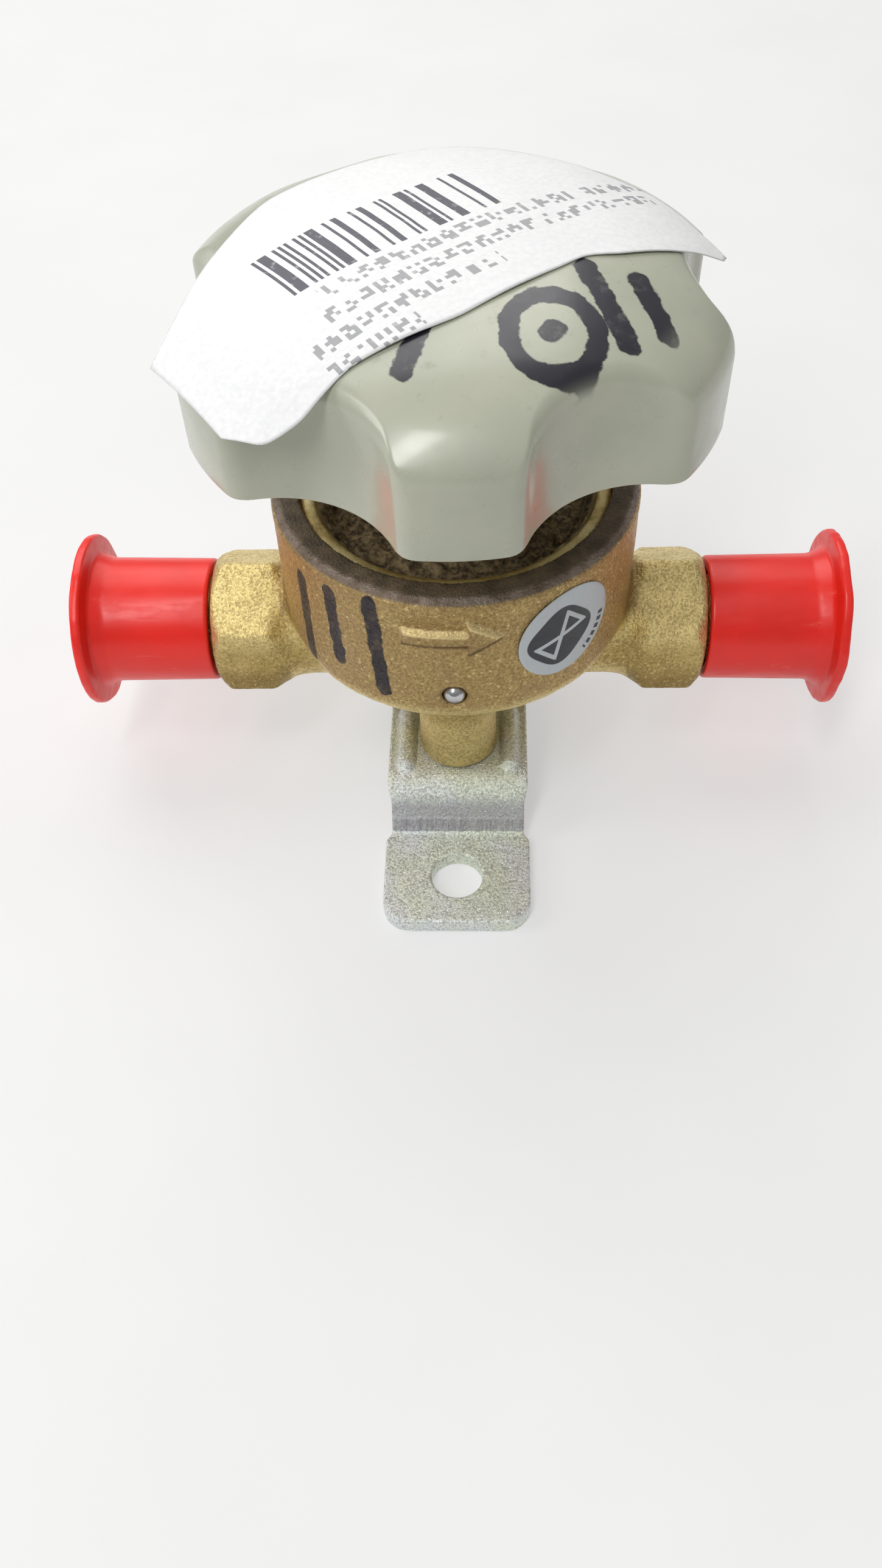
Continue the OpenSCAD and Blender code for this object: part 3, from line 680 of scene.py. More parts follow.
def ring_mesh(name, rings):
    """A closed skin through rings of points that all have the same count."""
    rings = np.asarray(rings)
    rows, columns = rings.shape[:2]
    points = rings.reshape(-1, 3).tolist()
    faces = grid_faces(rows, columns, True)
    for row, turn in ((0, -1), (rows - 1, 1)):
        points.append(rings[row].mean(0).tolist())
        hub = len(points) - 1
        for j in range(columns):
            pair = (row * columns + j, row * columns + (j + 1) % columns)[::turn]
            faces.append((*pair, hub))
    mesh = bpy.data.meshes.new(name)
    mesh.from_pydata(points, [], faces)
    face_outward(mesh)
    return mesh


def face_outward(mesh):
    bm = bmesh.new()
    bm.from_mesh(mesh)
    bmesh.ops.recalc_face_normals(bm, faces=bm.faces)
    bm.to_mesh(mesh)
    bm.free()


def lathe_mesh(name, profile, segments=128, along_x=False, centre_z=0.0):
    """Turns a profile of (radius, height) points in mm round Z, or round a line along X."""
    turn = np.linspace(0, 2 * math.pi, segments, endpoint=False)
    rings = []
    for radius, height in profile:
        first, second = radius * MM * np.cos(turn), radius * MM * np.sin(turn)
        level = np.full(segments, height * MM)
        row = [level, first, centre_z + second] if along_x else [first, second, centre_z + level]
        rings.append(np.stack(row, 1))
    return ring_mesh(name, rings)


def round_corners(points, radius, steps=4):
    """Rounds each inner corner of a profile with a short arc of points."""
    rounded = [points[0]]
    for before, corner, after in zip(points, points[1:], points[2:]):
        a, c, b = Vector(before), Vector(corner), Vector(after)
        reach = min(radius, 0.45 * (a - c).length, 0.45 * (b - c).length)
        start = c + (a - c).normalized() * reach
        end = c + (b - c).normalized() * reach
        for i in range(steps + 1):
            t = i / steps
            rounded.append(tuple((1 - t) ** 2 * start + 2 * t * (1 - t) * c + t ** 2 * end))
    return rounded + [points[-1]]


def apply_modifiers(piece):
    bpy.context.view_layer.update()
    evaluated = piece.evaluated_get(bpy.context.evaluated_depsgraph_get())
    finished = bpy.data.meshes.new_from_object(evaluated)
    piece.modifiers.clear()
    old = piece.data
    piece.data = finished
    bpy.data.meshes.remove(old)
    return piece


# %% [markdown]
# Points are quicker to move as one array than one at a time, so a mesh's points and edges are
# read into arrays, worked on there, and written back. Noise over such an array is what swells,
# dents and creases the skins below.

# %% Helpers for arrays of points
def point_array(mesh, values="co"):
    points = np.empty(len(mesh.vertices) * 3)
    mesh.vertices.foreach_get(values, points)
    return points.reshape(-1, 3)


def edge_array(mesh):
    edges = np.empty(len(mesh.edges) * 2, int)
    mesh.edges.foreach_get("vertices", edges)
    return edges.reshape(-1, 2)


def set_points(mesh, points):
    mesh.vertices.foreach_set("co", points.ravel())
    mesh.update()


def noise_at(points, size):
    return np.array([noise.noise(Vector(p) / size) for p in points])


def smoothstep(value, low, high):
    t = np.clip((value - low) / (high - low), 0, 1)
    return t * t * (3 - 2 * t)


# %% [markdown]
# ## The forged body
# A forging has no sharp edge anywhere: the bosses flow into the bowl through small fillets, and
# the lugs grow out of its underside. Modelling each fillet by hand would be slow. Instead the
# CAD body is copied and remeshed into small even squares, and then smoothed where it was
# forged and left alone where it was machined, at the rim, the bores and the flare ends.

# %% Copy the CAD body and even out its mesh
def copy_of_node(node):
    mesh = frame["nodes"][node].data.copy()
    bm = bmesh.new()
    bm.from_mesh(mesh)
    bmesh.ops.remove_doubles(bm, verts=bm.verts, dist=0.002 * MM)
    bm.to_mesh(mesh)
    bm.free()
    mesh.materials.clear()
    return mesh


def even_mesh(node, square):
    """The CAD node's shape again, in small even squares."""
    shape = new_object(node + "_shape", copy_of_node(node))
    remesh = shape.modifiers.new("even", "REMESH")
    remesh.mode = "VOXEL"
    remesh.voxel_size = square
    mesh = apply_modifiers(shape).data
    bpy.data.objects.remove(shape)
    return mesh


forging = even_mesh("body", 0.30 * MM)
print("remeshed body:", len(forging.vertices), "points")

# %% [markdown]
# ## Smoothing by hand
# Laplacian smoothing moves every point towards the middle of its neighbours. Each point's share
# of the move says how forged it is. The necks get many more rounds, which opens a fillet
# there as wide as a pencil's point, and the bowl's wall is set back to its true radius after.

# %% Smooth the forged skin
def smooth_points(points, edges, share, rounds):
    ends = np.concatenate([edges[:, 0], edges[:, 1]])
    others = np.concatenate([edges[:, 1], edges[:, 0]])
    count = np.bincount(ends, minlength=len(points))
    for _ in range(rounds):
        for axis in range(3):
            middle = np.bincount(ends, points[others, axis], len(points)) / count
            points[:, axis] += share * (middle - points[:, axis])
    return points


edges = edge_array(forging)
points = point_array(forging)
x, y, z = points.T
radius = np.hypot(x, y)
port_radius = np.hypot(y, z - PORT_Z)

outside = np.maximum(
    smoothstep(radius, BOWL_R - 2.2 * MM, BOWL_R - 1.8 * MM),
    smoothstep(PORT_Z + 4.5 * MM - z, 0, 0.5 * MM),
) * smoothstep(port_radius + np.where(abs(x) < BOWL_R - 2 * MM, 9 * MM, 0), 2.6 * MM, 3.0 * MM)
forged = outside * smoothstep(RIM_Z - 1.6 * MM - z, 0, 0.6 * MM)
forged *= 1 - smoothstep(abs(x), BOSS_X - 0.1 * MM, BOSS_X + 0.3 * MM)
forged *= smoothstep(np.hypot(x, abs(y) - 10.8 * MM), 1.7 * MM, 2.4 * MM)
neck = forged * smoothstep(abs(x), 13 * MM, 15 * MM)
neck = neck * (1 - smoothstep(abs(x), BOWL_R + 0.3 * MM, BOWL_R + 2.0 * MM))
neck *= smoothstep(PORT_Z + 8 * MM - z, 0, 2 * MM)
LUG_ROOT_Z = 11.6 * MM
lug_root = forged * smoothstep(3.0 * MM - abs(z - LUG_ROOT_Z), 0, 1.5 * MM)
lug_root = lug_root * smoothstep(8 * MM - abs(x), 0, 2 * MM)

points = smooth_points(points, edges, 0.5 * forged, 4)
points = smooth_points(points, edges, 0.55 * neck, 60)
points = smooth_points(points, edges, 0.5 * lug_root, 22)
print("smoothed", int((forged > 0.5).sum()), "forged points")

# %% [markdown]
# ## The wall, the arrow and the forging skin
# Smoothing softens the raised arrow, so the wall's points are set again: each goes to the
# bowl's radius, plus the arrow's height where it lies inside the arrow's outline. The distance
# to that outline gives its flanks the slope that a forging die needs. In the next step a slow
# noise swells and dents the whole skin by a few hundredths of a millimetre.

# %% Raise the arrow
ARROW_Z = RIM_Z - 4.5 * MM
ARROW_HALF, SHAFT_HALF, HEAD_HALF, HEAD_LENGTH = 5.1 * MM, 0.95 * MM, 2.3 * MM, 3.8 * MM
ARROW_RAISE = 0.62 * MM
PLUG_HOLE = 1.25 * MM


def inside_arrow(across_x, up_z):
    """How far a point lies inside the arrow's outline, in metres; negative outside it."""
    v = abs(up_z - ARROW_Z)
    neck_x = ARROW_HALF - HEAD_LENGTH
    length = np.minimum(across_x + ARROW_HALF, neck_x + 0.6 * MM - across_x)
    shaft = np.minimum(SHAFT_HALF - v, length)
    slope = math.atan2(HEAD_HALF, HEAD_LENGTH)
    flank = (ARROW_HALF - across_x) * math.sin(slope) - v * math.cos(slope)
    head = np.minimum(flank, across_x - neck_x)
    return np.maximum(shaft, head)


x, y, z = points.T
radius = np.hypot(x, y)
from_plug = np.hypot(x, z - PLUG_Z)
on_wall = (radius > BOWL_R - 0.9 * MM) & (abs(x) < BOWL_R - 0.6 * MM)
on_wall &= (z > BOWL_TURN_Z + 0.3 * MM) & (z < RIM_Z - 1.0 * MM)
on_wall &= (from_plug > PLUG_HOLE) | (y > 0)
on_wall &= (abs(x) < 12.5 * MM) | (z > PORT_Z + 9.0 * MM)
lift = ARROW_RAISE * smoothstep(inside_arrow(x, z), -0.10 * MM, 0.34 * MM) * (y < 0)
dent = 0.3 * MM * smoothstep(1.6 * MM - from_plug, 0, 0.3 * MM) * (y < 0)
scale = np.where(on_wall, (BOWL_R + lift - dent) / radius, 1.0)
points[:, 0] *= scale
points[:, 1] *= scale
print("set", int(on_wall.sum()), "points of the wall")

# %% [markdown]
# ## Thread and skin
# The flares' thread is a helix: how deep a point is cut depends on how far along X it lies,
# plus the turn round the port. The two attributes for the brass come from the arrow's outline
# shifted down a little: just inside its upper edge lies a painted highlight, and under it a
# painted shadow.

# %% Cut the thread, roughen the skin and mark the painted highlight and shadow
THREAD_PITCH, THREAD_DEPTH, FLARE_R = 1.27 * MM, 0.45 * MM, 5.55 * MM
THREAD_START, THREAD_END = BOSS_X + 1.6 * MM, BOSS_X + 10.8 * MM

port_radius = np.hypot(y, z - PORT_Z)
phase = 2 * math.pi * x / THREAD_PITCH + np.arctan2(z - PORT_Z, y)
on_thread = smoothstep(abs(x), THREAD_START, BOSS_X + 2.2 * MM)
on_thread = on_thread * smoothstep(THREAD_END - abs(x), 0, 0.6 * MM)
on_thread *= port_radius > FLARE_R - 0.7 * MM
cut = 1 - on_thread * THREAD_DEPTH * (0.5 + 0.5 * np.cos(phase)) / FLARE_R
points[:, 1] *= cut
points[:, 2] = PORT_Z + (points[:, 2] - PORT_Z) * cut

set_points(forging, points)
normals = point_array(forging, "normal")
swell = noise_at(points, 3.2 * MM)
peel = noise_at(points, 0.9 * MM)
depth = forged * (0.055 * MM * swell + 0.04 * MM * peel) - forged * 0.05 * MM
points += normals * depth[:, None]
set_points(forging, points)

here = smoothstep(inside_arrow(x, z), -0.10 * MM, 0.34 * MM)
under_top_edge = smoothstep(inside_arrow(x, z + 0.36 * MM), -0.10 * MM, 0.30 * MM)
over_foot = smoothstep(inside_arrow(x, z + 0.62 * MM), -0.10 * MM, 0.30 * MM)
front = on_wall * (y < 0)
# Painted highlight just inside the arrow's upper edge; painted shadow under the arrow and on its
# lower face.
rubbed = front * np.clip(2.4 * here * (1 - under_top_edge) + 0.15 * here, 0, 1)
painted_shadow = front * np.clip(over_foot * (1 - here) + 0.32 * here * under_top_edge, 0, 1)
for name, values in (("rubbed", rubbed), ("painted_shadow", painted_shadow)):
    mark = forging.attributes.new(name, "FLOAT", "POINT")
    mark.data.foreach_set("value", values.astype(np.float32))

arrow_top = np.hypot(*points[lift > 0.5 * MM, :2].T).mean()
print("arrow stands out by", round((arrow_top - BOWL_R) / MM, 2), "mm")
add_piece("forged_body", forging, "housing", FORGED, "body")

# %% [markdown]
# ## The knob
# The knob is a dome cut by six finger scallops. Seen from above its outline is a circle with six
# bites out of it, and seen from the side it is a low crown that rolls over into a straight
# wall. Both are formulas here: a smooth maximum of distances gives the outline its soft
# corners, and one power curve gives crown and shoulder without a seam between them.

# %% The outline and the crown as functions
LOBES = 6
KNOB_TURN = math.radians(2.6)
SCALLOP_R, SCALLOP_DEPTH = 11.4 * MM, 4.7 * MM
CORNER = 1.3 * MM
WALL_TOP_Z = KNOB_Z + 7.3 * MM


def outline_radius(turn, inset=0.0):
    """Distance from the axis to the knob's outline, for an array of angles."""
    low, high = np.full(turn.shape, 10 * MM), np.full(turn.shape, KNOB_R + MM)
    centre = KNOB_R - SCALLOP_DEPTH + SCALLOP_R
    away = (turn + math.pi / LOBES) % (2 * math.pi / LOBES) - math.pi / LOBES
    for _ in range(26):
        middle = (low + high) / 2
        past_rim = middle - KNOB_R
        off_finger = middle ** 2 + centre ** 2 - 2 * middle * centre * np.cos(away)
        in_scallop = SCALLOP_R - np.sqrt(off_finger)
        mix = np.maximum(CORNER - abs(past_rim - in_scallop), 0) / CORNER
        outside_by = np.maximum(past_rim, in_scallop) + mix ** 2 * CORNER / 4 + inset
        high = np.where(outside_by > 0, middle, high)
        low = np.where(outside_by > 0, low, middle)
    return low


def crown_height(r):
    share = np.clip(r / KNOB_R, 0, 1)
    return WALL_TOP_Z + (CROWN_Z - WALL_TOP_Z) * (1 - share ** 2.4) ** 0.522


print("crown at the scallops:", round(float(crown_height(20.9 * MM)) / MM, 2), "mm")

# %% [markdown]
# ## Skinning the knob
# The skin is a stack of rings, each with one radius and height for every angle: over the crown,
# round the edge, down the wall, under the lip, up inside, and down the hub. Rings crowd
# together where the surface turns fast, so the shoulder stays round.

# %% Build the knob from rings
STEPS = 6 * 84
LIP, WALL = 0.45 * MM, 2.6 * MM
turns = np.linspace(0, 2 * math.pi, STEPS, endpoint=False)
outer = outline_radius(turns - KNOB_TURN)
inner = outline_radius(turns - KNOB_TURN, WALL)
scalloped = smoothstep(KNOB_R - outer, 0.3 * MM, 2.5 * MM)
edge_round = (0.35 + 0.95 * scalloped) * MM
HUB_R, INSERT_R, HUB_Z, CEILING_Z = 8.5 * MM, 6.42 * MM, KNOB_Z + 0.5 * MM, WALL_TOP_Z

levels = []
for share in (*np.linspace(0.985, 0.03, 46) ** 1.7, 0.001, 0.0):
    inward = outer * share
    fall = np.clip(1 - inward / edge_round, 0, 1)
    drop = edge_round * (1 - np.sqrt(1 - fall ** 2))
    levels.append((outer - inward, crown_height(outer - inward) - drop))
wall_top = levels[-1][1]
for share in (0.3, 0.6, 0.85):
    levels.append((outer, wall_top + share * (KNOB_Z + LIP - wall_top)))
for angle in np.linspace(0, math.pi / 2, 5):
    levels.append((outer - LIP * (1 - math.cos(angle)), KNOB_Z + LIP * (1 - math.sin(angle))))
levels += [
    (inner + 0.2 * MM, KNOB_Z), (inner, KNOB_Z + 0.2 * MM),
    (inner, CEILING_Z - 0.8 * MM), (inner - 0.8 * MM, CEILING_Z),
    (HUB_R + 0.6 * MM, CEILING_Z), (HUB_R, CEILING_Z - 0.6 * MM),
    (HUB_R, HUB_Z + 0.3 * MM), (HUB_R - 0.3 * MM, HUB_Z),
    (INSERT_R, HUB_Z), (INSERT_R, KNOB_Z + 10.4 * MM),
]

rings = [
    np.stack([r * np.cos(turns), r * np.sin(turns), np.broadcast_to(h, STEPS)], 1)
    for r, h in levels
]
knob_mesh = ring_mesh("knob", rings)
print("knob skin of", len(rings), "rings")

# %% [markdown]
# Under the dome six ribs run out from the hub, one below each lobe, as such mouldings have.

# %% Add the ribs inside the knob
RIB_T, RIB_REACH = 1.6 * MM, 17.2 * MM
rib_middle = Vector(((HUB_R + RIB_REACH) / 2, 0, (KNOB_Z + 2 * MM + CEILING_Z + 0.4 * MM) / 2))
rib_size = (RIB_REACH - HUB_R + 2.4 * MM, RIB_T, CEILING_Z - KNOB_Z - 1.6 * MM, 1)
rib_parts = bmesh.new()
rib_parts.from_mesh(knob_mesh)
for i in range(LOBES):
    spoke = Matrix.Rotation(KNOB_TURN + (i + 0.5) * 2 * math.pi / LOBES, 4, "Z")
    place = spoke @ Matrix.Translation(rib_middle) @ Matrix.Diagonal(rib_size)
    bmesh.ops.create_cube(rib_parts, size=1, matrix=place)
rib_parts.to_mesh(knob_mesh)
rib_parts.free()
add_piece("lobed_knob", knob_mesh, "handwheel", KNOB_PLASTIC, "knob")

# %% [markdown]
# ## The bracket
# A strip of 2 mm sheet, pressed into a hat: a raised middle, a step at each side, and two flat
# feet. A press leaves round bends and not sharp ones, so the strip is swept along a side view
# whose corners are arcs. Each cross-section is a flat ring, and the ribs are a height that is
# added where the ring runs past them.

# %% The strip's side view, from the middle out
SHEET = 2 * MM
TOP_Z = RIM_Z - 28.8 * MM
FOOT_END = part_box("bracket")[1].y
BEND_MID_R = 2.2 * MM
LUG_Y = 10.8 * MM
HOLE_Y = 26.0 * MM


def side_view():
    slope = math.atan2(TOP_Z - SHEET, 3 * MM)
    inset = SHEET * math.tan(slope / 2) / 2
    top, foot = TOP_Z - SHEET / 2, SHEET / 2
    corners = [
        Vector((0, top)), Vector((LUG_Y + 6.3 * MM - inset, top)),
        Vector((LUG_Y + 9.3 * MM - inset, foot)), Vector((FOOT_END, foot)),
    ]
    reach = BEND_MID_R * math.tan(slope / 2)
    line = []
    for i, (start, end) in enumerate(zip(corners, corners[1:])):
        run = (end - start).normalized()
        first = start + run * (reach if i else 0)
        last = end - run * (reach if i < 2 else 0)
        count = max(3, int((last - first).length / (0.2 * MM)))
        stop = count if i < 2 else count + 1
        line += [first.lerp(last, k / count) for k in range(stop)]
        if i < 2:
            turn = -slope if i == 0 else slope
            normal = Vector((-run.y, run.x)) * (-1 if i == 0 else 1)
            centre = last + normal * BEND_MID_R
            for k in range(10):
                line.append(centre + Matrix.Rotation(turn * k / 10, 2) @ (last - centre))
    return np.array(line)


half_line = side_view()
print("side view:", len(half_line), "points, ends at", (half_line[-1] / MM).round(2))

# %% [markdown]
# ## Width, ribs and edges
# The strip is 15.6 mm wide in the middle, narrows a little at the bends and widens to 16 mm at
# the feet, whose corners are round. The ribs beside each lug are half round and pushed up
# from below, so the underside has a shallow groove under each.

# %% Sweep the strip
def half_width(y):
    y = abs(y)
    width = 7.8 - 0.4 * smoothstep(y, 16.4 * MM, 17.6 * MM)
    width = width + 0.6 * smoothstep(y, 19.9 * MM, 21.4 * MM)
    past = np.clip(y - (FOOT_END - 3 * MM), 0, 3 * MM) / MM
    return (width - 3 + np.sqrt(9 - past ** 2)) * MM


def rib_height(x, y):
    rib_r, rib_x, sunk_by, soft = 1.15 * MM, 5.85 * MM, 0.2 * MM, 0.35 * MM
    along = np.clip(abs(y), LUG_Y - 3.9 * MM, LUG_Y + 3.5 * MM)
    away = np.hypot(abs(x) - rib_x, abs(y) - along)
    round_top = np.sqrt(np.maximum(rib_r ** 2 - away ** 2, 0)) - sunk_by
    height = np.where(away < rib_r, round_top, -sunk_by - (away - rib_r))
    mix = np.maximum(soft - abs(height), 0) / soft
    return np.maximum(height, 0) + mix ** 2 * soft / 4


line = np.concatenate([half_line[:0:-1] * (-1, 1), half_line])
run = np.gradient(line, axis=0)
run /= np.linalg.norm(run, axis=1)[:, None]
normal = np.stack([-run[:, 1], run[:, 0]], 1)
EDGE = 0.28 * MM
across_share = np.linspace(-1, 1, 84)
rings = []
for (y, z), (ny, nz) in zip(line, normal):
    past_end = (abs(y) - (FOOT_END - EDGE)) / EDGE
    rounding = EDGE * (1 - math.sqrt(max(1 - past_end ** 2, 0))) if past_end > 0 else 0
    thin = SHEET / 2 - rounding
    flat = (float(half_width(y)) - EDGE) * across_share
    rib = rib_height(flat, y) if abs(y) < LUG_Y + 5.2 * MM else 0 * flat
    corner = np.linspace(0, math.pi / 2, 5)
    side_x = flat[-1] + EDGE * np.sin(corner)
    side_off = thin - EDGE * (1 - np.cos(corner))
    x = np.concatenate([flat, side_x, side_x[::-1], flat[::-1], -side_x, -side_x[::-1]])
    groove = -thin + 0.6 * rib[::-1]
    off = np.concatenate([thin + rib, side_off, -side_off[::-1], groove, -side_off, side_off[::-1]])
    rings.append(np.stack([x, y + ny * off, z + nz * off], 1))
bracket_mesh = ring_mesh("bracket", rings)
print("strip of", len(rings), "cross-sections")

# %% [markdown]
# ## Punched holes
# The holes are cut with soft-edged cutters, so that each rim catches a thin line of light. The
# fixing holes go through the feet. The two under the lugs are countersunk from below.

# %% Cut the holes
def cutter(name, profile, y):
    tool = new_object(name, lathe_mesh(name, profile, 64))
    tool.location.y = y
    return tool


# Each profile lists the cutter's radius and height, in mm, from below to above.
FIXING = [
    (0, -1), (3.15, -1), (3.05, -0.05), (2.85, 0.12), (2.75, 0.35),
    (2.75, 1.65), (2.83, 1.88), (3.02, 2.02), (3.1, 3), (0, 3),
]
SUNK = [(0, 4), (3.05, 4), (3.0, 5), (1.65, 6.4), (1.65, 8.5), (0, 8.5)]
HOLES = [(FIXING, HOLE_Y), (FIXING, -HOLE_Y), (SUNK, LUG_Y), (SUNK, -LUG_Y)]

bracket_shape = new_object("bracket_shape", bracket_mesh)
tools = [cutter(f"cut{i}", profile, y) for i, (profile, y) in enumerate(HOLES)]
for tool in tools:
    cut = bracket_shape.modifiers.new("cut", "BOOLEAN")
    cut.object = tool
    cut.operation = "DIFFERENCE"
    cut.solver = "EXACT"
apply_modifiers(bracket_shape)
for tool in tools:
    bpy.data.objects.remove(tool)
bracket_mesh = bracket_shape.data
bpy.data.objects.remove(bracket_shape)
add_piece("pressed_bracket", bracket_mesh, "housing", ZINC, "bracket")
bracket_mesh.set_sharp_from_angle(angle=math.radians(50))

# %% [markdown]
# ## The transit caps
# Each cap is a soft moulded thimble with a wide round flange at its closed end. A lathe profile
# gives the shape, its corners are rounded as the mould leaves them, and the flange's rim is
# pushed about a little, because such caps are trimmed carelessly and get chewed. The end has a
# shallow recess with the gate mark in its middle, where the plastic ran in.

# %% Build both caps
def cap_mesh(name, side):
    inner_r, outer_r, flange_r, recess = 5.62, 6.85, 9.55, 0.45
    mouth, bottom, end = cap_low.x / MM, cap_high.x / MM - 1.2, cap_high.x / MM
    profile = [
        (0.05, bottom), (inner_r, bottom), (inner_r, mouth), (outer_r, mouth),
        (outer_r + 0.15, bottom - 1.6), (outer_r + 0.75, bottom - 0.05),
        (flange_r, bottom + 0.1), (flange_r, end), (7.4, end), (6.8, end - recess),
        (1.5, end - recess), (1.1, end - 0.15), (0.05, end - 0.15),
    ]
    mesh = lathe_mesh(name, round_corners(profile, 0.42, 5), 144, along_x=True, centre_z=PORT_Z)
    points = point_array(mesh)
    away = np.hypot(points[:, 1], points[:, 2] - PORT_Z)
    angle = np.arctan2(points[:, 2] - PORT_Z, points[:, 1])
    rough, fine = (
        noise_at([(math.cos(a) * waves, math.sin(a) * waves, side) for a in angle], 1)
        for waves in (2.2, 9)
    )
    rim = smoothstep(away, 7.6 * MM, 9.2 * MM)
    grow = 1 + rim * (0.016 * rough + 0.008 * fine)
    points[:, 1] *= grow
    points[:, 2] = PORT_Z + (points[:, 2] - PORT_Z) * grow
    points[:, 0] = points[:, 0] * side + rim * 0.12 * MM * rough * (away > 7.6 * MM)
    set_points(mesh, points)
    face_outward(mesh)
    return mesh


for end, side in (("inlet", -1), ("outlet", 1)):
    cap = cap_mesh(f"{end}_cap", side)
    add_piece(f"{end}_transit_cap", cap, f"{end}_cap_body", CAP_RED, f"{end}_cap")

# %% [markdown]
# ## The bonnet
# The bonnet is turned and milled from bar, and most of it lies in the knob's shade. It is
# copied from the CAD and remeshed, so that its edges come out slightly round, and clumps of
# dust are raised on the floor of its hollow, between the outer edge and the neck.

# %% Build the bonnet
bonnet_mesh = even_mesh("bonnet", 0.24 * MM)
points = point_array(bonnet_mesh)
points = smooth_points(points, edge_array(bonnet_mesh), np.full(len(points), 0.4), 2)
radius = np.hypot(points[:, 0], points[:, 1])
floor_z = RIM_Z - 4.35 * MM
in_hollow = smoothstep(radius, 8.2 * MM, 9 * MM) * smoothstep(14.6 * MM - radius, 0, 1.2 * MM)
in_hollow *= smoothstep(points[:, 2], floor_z - 0.6 * MM, floor_z - 0.2 * MM)
fluff = noise_at(points, 1.1 * MM)
on_floor = points[:, 2] < floor_z + 2.6 * MM
points[:, 2] += in_hollow * np.maximum(fluff + 0.15, 0) * 0.9 * MM * on_floor
set_points(bonnet_mesh, points)
add_piece("dusty_bonnet", bonnet_mesh, "housing", DUSTY_BRASS, "bonnet")

# %% [markdown]
# ## The sticker
# The film follows the bowl's wall. It is a stack of oval rings, laid out flat first and then
# bent round the wall, and the flat place of each point is kept as a UV map for the badge.
# Each ring gives its share of the oval and its height off the wall in mm.

# %% Build the sticker
def sticker_mesh():
    turn = np.linspace(0, 2 * math.pi, 96, endpoint=False)
    layers = [(0.05, 0.03), (1.0, 0.03), (1.0, 0.11), (0.985, 0.15)]
    layers += [(share, 0.16) for share in np.linspace(0.94, 0.04, 16)]
    flat_u = np.concatenate([share * np.cos(turn) for share, _ in layers] + [[0, 0]])
    flat_v = np.concatenate([share * np.sin(turn) for share, _ in layers] + [[0, 0]])
    heights = [np.full(len(turn), h * MM) for _, h in layers]
    height = np.concatenate(heights + [[0.03 * MM, 0.16 * MM]])
    across_mm, along_mm = flat_u * STICKER_B, flat_v * STICKER_A
    side = across_mm * math.cos(STICKER_TILT) + along_mm * math.sin(STICKER_TILT)
    up = along_mm * math.cos(STICKER_TILT) - across_mm * math.sin(STICKER_TILT)
    angle = STICKER_AZIMUTH + np.arcsin(side / BOWL_R)
    r = BOWL_R + height
    points = np.stack([r * np.sin(angle), -r * np.cos(angle), STICKER_Z + up], 1)
    rings = points[: len(layers) * len(turn)].reshape(len(layers), len(turn), 3)
    mesh = ring_mesh("sticker", rings)
    layer = mesh.uv_layers.new(name="flat")
    corner_points = np.empty(len(mesh.loops), int)
    mesh.loops.foreach_get("vertex_index", corner_points)
    flat = np.stack([flat_u[corner_points], flat_v[corner_points]], 1)
    layer.data.foreach_set("uv", flat.astype(np.float32).ravel())
    return mesh


add_piece("oval_badge", sticker_mesh(), "housing", STICKER_FILM, "oval_sticker")

# %% [markdown]
# ## The paper label
# The label was stuck on long ago and has let go at its ends. It is a patch between two edge
# curves, dropped on to the crown. Past the shoulder paper does not follow the moulding down
# but hangs on straight, so there the height runs on along the last slope.

# %% Build the label
LOWER_EDGE = [
    (-17.9, -20.2), (-14.2, -22.0), (-11.2, -20.8), (-7.5, -17), (1, -12.2),
    (9.4, -5.2), (11.6, -3.2), (14.5, -2.5), (24.2, 2.5),
]
UPPER_EDGE = [
    (-25.2, -10.4), (-21.4, 0.0), (-17, 10), (-9, 15.6), (-1, 20.5),
    (4.5, 18.8), (11.4, 15.3), (18.2, 11.5), (24.5, 3.3),
]
SHOULDER_R, PAPER = 22.6 * MM, 0.12 * MM
COLUMNS, ROWS = 130, 70


def along_curve(corners, count):
    corners = np.array(corners) * MM
    steps = np.concatenate([[0], np.cumsum(np.linalg.norm(np.diff(corners, axis=0), axis=1))])
    where = np.linspace(0, steps[-1], count)
    line = np.stack([np.interp(where, steps, corners[:, k]) for k in range(2)], 1)
    for _ in range(6):
        line[1:-1] = (line[:-2] + 2 * line[1:-1] + line[2:]) / 4
    return line


def label_height(r):
    step = 0.01 * MM
    fall = float(crown_height(SHOULDER_R + step) - crown_height(SHOULDER_R - step))
    slope = fall / (0.02 * MM)
    return crown_height(np.minimum(r, SHOULDER_R)) + slope * np.maximum(r - SHOULDER_R, 0)


lower, upper = along_curve(LOWER_EDGE, COLUMNS), along_curve(UPPER_EDGE, COLUMNS)
share = np.linspace(0, 1, ROWS)[:, None, None]
plan = (lower[None] * (1 - share) + upper[None] * share).reshape(-1, 2)
x, y = plan.T
radius = np.hypot(x, y)
wave = noise_at([(a, b, 0) for a, b in plan], 7 * MM)
creased = [(a * 0.8 + b * 0.6, (b * 0.8 - a * 0.6) * 3, 1) for a, b in plan]
crease = noise_at(creased, 9 * MM)
lift = 0.07 * MM + 0.12 * MM * (wave + 0.6) + 0.10 * MM * np.maximum(crease, 0)
points = np.stack([x, y, label_height(radius) + lift], 1)
label_mesh = bpy.data.meshes.new("label")
label_mesh.from_pydata(points.tolist(), [], grid_faces(ROWS, COLUMNS, False))
face_outward(label_mesh)
label_piece = add_piece("paper_slip", label_mesh, "handwheel", LABEL_PAPER, "paper_label")
thick = label_piece.modifiers.new("thickness", "SOLIDIFY")
thick.thickness = PAPER
thick.offset = 1
apply_modifiers(label_piece)

# %% [markdown]
# ## The small parts from the CAD
# The rest is inside the valve or is small and simple: the CAD shape is right, and only
# its finish is missing. Each of these nodes keeps its mesh and gets one of the finishes above.

